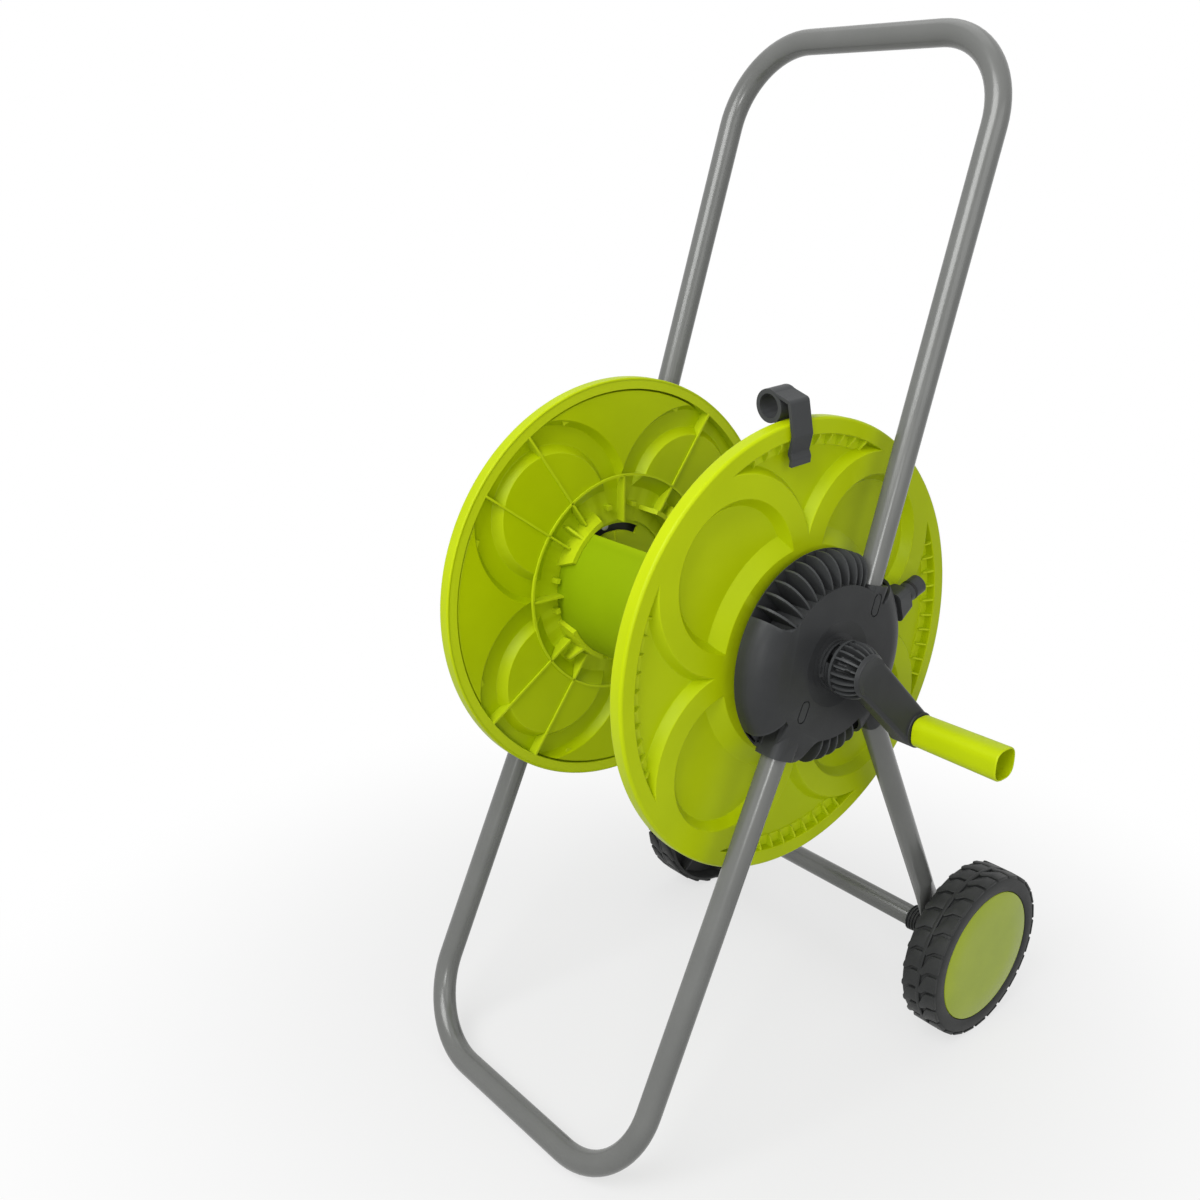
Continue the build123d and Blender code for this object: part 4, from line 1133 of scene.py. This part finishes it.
@dataclass
class CrankHandle:
    """Crank with its ribbed hub, and the hollow grip on its peg."""

    pivot_y: float = 52.794
    pivot_z: float = 350.33
    grip_in: float = 194.3
    grip_out: float = 272.3
    floor: float = 235.2
    bore_r: float = 6.6
    square: float = 2.9  # 2 is round, more is squarer

    def grip(self) -> bpy.types.Object:
        """Hollow grip: a turned tube pressed towards a rounded square."""
        start, end, wall = self.grip_in, self.grip_out, self.floor
        grip = lathe(
            [
                (start, self.bore_r),
                (start, 11.0),
                (start + 0.4, 11.7),
                (start + 1.4, 12.1),
                (end - 1.6, 12.8),
                (end - 0.7, 12.7),
                (end - 0.2, 12.4),
                (end, 12.0),
                (end - 0.2, 11.6),
                (end - 0.8, 11.4),
                (wall + 3, 10.5),
                (wall + 0.6, 10.0),
                (wall, 9.2),
                (wall, self.bore_r),
                (start, self.bore_r),
            ],
            self.pivot_y,
            self.pivot_z,
        )
        for vertex in grip.data.vertices:
            y, z = vertex.co.y - mm(self.pivot_y), vertex.co.z - mm(self.pivot_z)
            r = sqrt(y * y + z * z)
            if r > mm(8.0):
                spread = (abs(y / r) ** self.square + abs(z / r) ** self.square) ** (-1 / self.square)
                vertex.co.y, vertex.co.z = mm(self.pivot_y) + y * spread, mm(self.pivot_z) + z * spread
        return even_normals(grip, 35.0)

    def build(self) -> None:
        """Models and dresses crank and grip."""
        dress(of_solid("crank"), "crank")
        dress(self.grip(), "grip")


@dataclass
class ReelCore:
    """Drum between the flanges, its shafts and outlet, and the clip for the hose's end."""

    def build(self) -> None:
        """Dresses the core."""
        # the drum's darker, greener lime is painted shade
        dress(of_solid("drum"), "drum", SHADED_DRUM_PP)
        for node in ("water_spindle", "right_stub", "hose_outlet", "hose_end_clip"):
            dress(of_solid(node), node)


@dataclass
class Studio:
    """Pale floor, soft light and the camera."""

    eye: tuple[float, float, float] = (0.6947, -0.6552, 0.7347)
    azimuth: float = 44.694
    elevation: float = 20.251
    roll: float = 2.460
    focal_px: float = 1208.834
    centre_px: tuple[float, float] = (740.14, 638.96)
    image_px: float = 1200.0
    aim: tuple[float, float, float] = (0.0, 0.05, 0.4)
    floor_colour: str = "#C4C4C4"
    sky_light: float = 0.37  # what lights the cart; the camera sees 1, which is white

    def camera(self) -> None:
        """Places the camera at the photograph's view."""
        az, el, roll = radians(self.azimuth), radians(self.elevation), radians(self.roll)
        back = Vector((sin(az) * cos(el), -cos(az) * cos(el), sin(el)))
        level = Vector((cos(az), sin(az), 0))
        up = back.cross(level)
        right = cos(roll) * level + sin(roll) * up
        up = back.cross(right)
        deselect()
        bpy.ops.object.camera_add()
        eye = bpy.context.object
        eye.name = "camera"
        eye.matrix_world = Matrix.Translation(self.eye) @ Matrix((right, up, back)).transposed().to_4x4()
        eye.data.sensor_fit = "HORIZONTAL"
        eye.data.sensor_width = 36.0
        eye.data.lens = self.focal_px / self.image_px * 36.0
        eye.data.shift_x = (self.image_px / 2 - self.centre_px[0]) / self.image_px
        eye.data.shift_y = (self.centre_px[1] - self.image_px / 2) / self.image_px
        bpy.context.scene.camera = eye

    def lamp(self, name: str, place: tuple[float, float, float], size: float, watts: float) -> None:
        """Adds a square soft lamp that faces the cart.

        Args:
            name: name of the lamp.
            place: its place in metres.
            size: its side in metres.
            watts: its power.
        """
        deselect()
        bpy.ops.object.light_add(type="AREA", location=place)
        lamp = bpy.context.object
        lamp.name = name
        lamp.data.size = size
        lamp.data.energy = watts
        aim = Vector(self.aim) - Vector(place)
        lamp.rotation_euler = aim.to_track_quat("-Z", "Y").to_euler()

    def seen(self, tree: bpy.types.NodeTree) -> bpy.types.NodeSocket:
        """Share of a ray that the camera sees, straight or through a mirror or glass.

        Args:
            tree: the node tree that asks.

        Returns:
            A socket that is 1 for such a ray and 0 for light.
        """
        path = add_node(tree, "ShaderNodeLightPath").outputs
        share = path["Is Camera Ray"]
        for kind in ("Is Glossy Ray", "Is Transmission Ray"):
            either = add_node(tree, "ShaderNodeMath", {0: share, 1: path[kind]}, operation="MAXIMUM")
            share = either.outputs[0]
        return share

    def floor(self) -> None:
        """Lays the pale floor, which keeps the shadow and fades to white."""
        deselect()
        bpy.ops.mesh.primitive_plane_add(size=12.0)
        floor = bpy.context.object
        floor.name = "floor"
        made = bpy.data.materials.new("matt white studio floor")
        made.use_nodes = True
        tree = made.node_tree
        tree.nodes.clear()
        place = add_node(tree, "ShaderNodeTexCoord").outputs["Object"]
        reach = add_node(tree, "ShaderNodeVectorMath", {0: place}, operation="LENGTH").outputs["Value"]
        fade = add_node(
            tree,
            "ShaderNodeMapRange",
            {0: reach, 1: 0.15, 2: 0.75, 3: 0.66},
            interpolation_type="SMOOTHSTEP",
        )
        seen = self.seen(tree)
        share = add_node(tree, "ShaderNodeMath", {0: fade.outputs[0], 1: seen}, operation="MULTIPLY")
        matt = add_node(tree, "ShaderNodeBsdfDiffuse", {"Color": hex_linear(self.floor_colour)})
        white = add_node(tree, "ShaderNodeEmission", {"Color": (1, 1, 1, 1), "Strength": 1.0})
        mix = add_node(
            tree, "ShaderNodeMixShader", {0: share.outputs[0], 1: matt.outputs[0], 2: white.outputs[0]}
        )
        add_node(tree, "ShaderNodeOutputMaterial", {"Surface": mix.outputs[0]})
        floor.data.materials.append(made)

    def sky(self) -> None:
        """Surrounds the cart with white that the camera sees as plain white."""
        world = bpy.data.worlds.new("studio")
        bpy.context.scene.world = world
        world.use_nodes = True
        tree = world.node_tree
        tree.nodes.clear()
        seen = self.seen(tree)
        level = add_node(tree, "ShaderNodeMapRange", {0: seen, 3: self.sky_light, 4: 1.0})
        light = add_node(tree, "ShaderNodeBackground", {"Color": (1, 1, 1, 1), "Strength": level.outputs[0]})
        add_node(tree, "ShaderNodeOutputWorld", {"Surface": light.outputs[0]})

    def build(self) -> None:
        """Sets up the studio."""
        self.camera()
        self.floor()
        self.sky()
        self.lamp("key", (0.30, -1.40, 1.80), 1.3, 38.0)
        self.lamp("front", (1.25, -1.20, 0.72), 0.35, 6.0)
        self.lamp("fill", (1.75, -0.1, 1.2), 1.2, 6.0)
        self.lamp("top", (-0.4, 0.3, 2.2), 1.2, 4.0)
        bpy.context.scene.view_settings.view_transform = "Standard"


def main() -> None:
    """Builds the cart piece by piece."""
    logging.basicConfig(level=logging.INFO, format="%(name)s %(message)s")
    Studio().build()
    for group in (TubeFrame(), ReelFlange(), ReelCore(), SideCover(), CrankHandle(), CartWheel()):
        log.info("building %s", type(group).__name__)
        group.build()


if __name__ == "__main__":
    main()
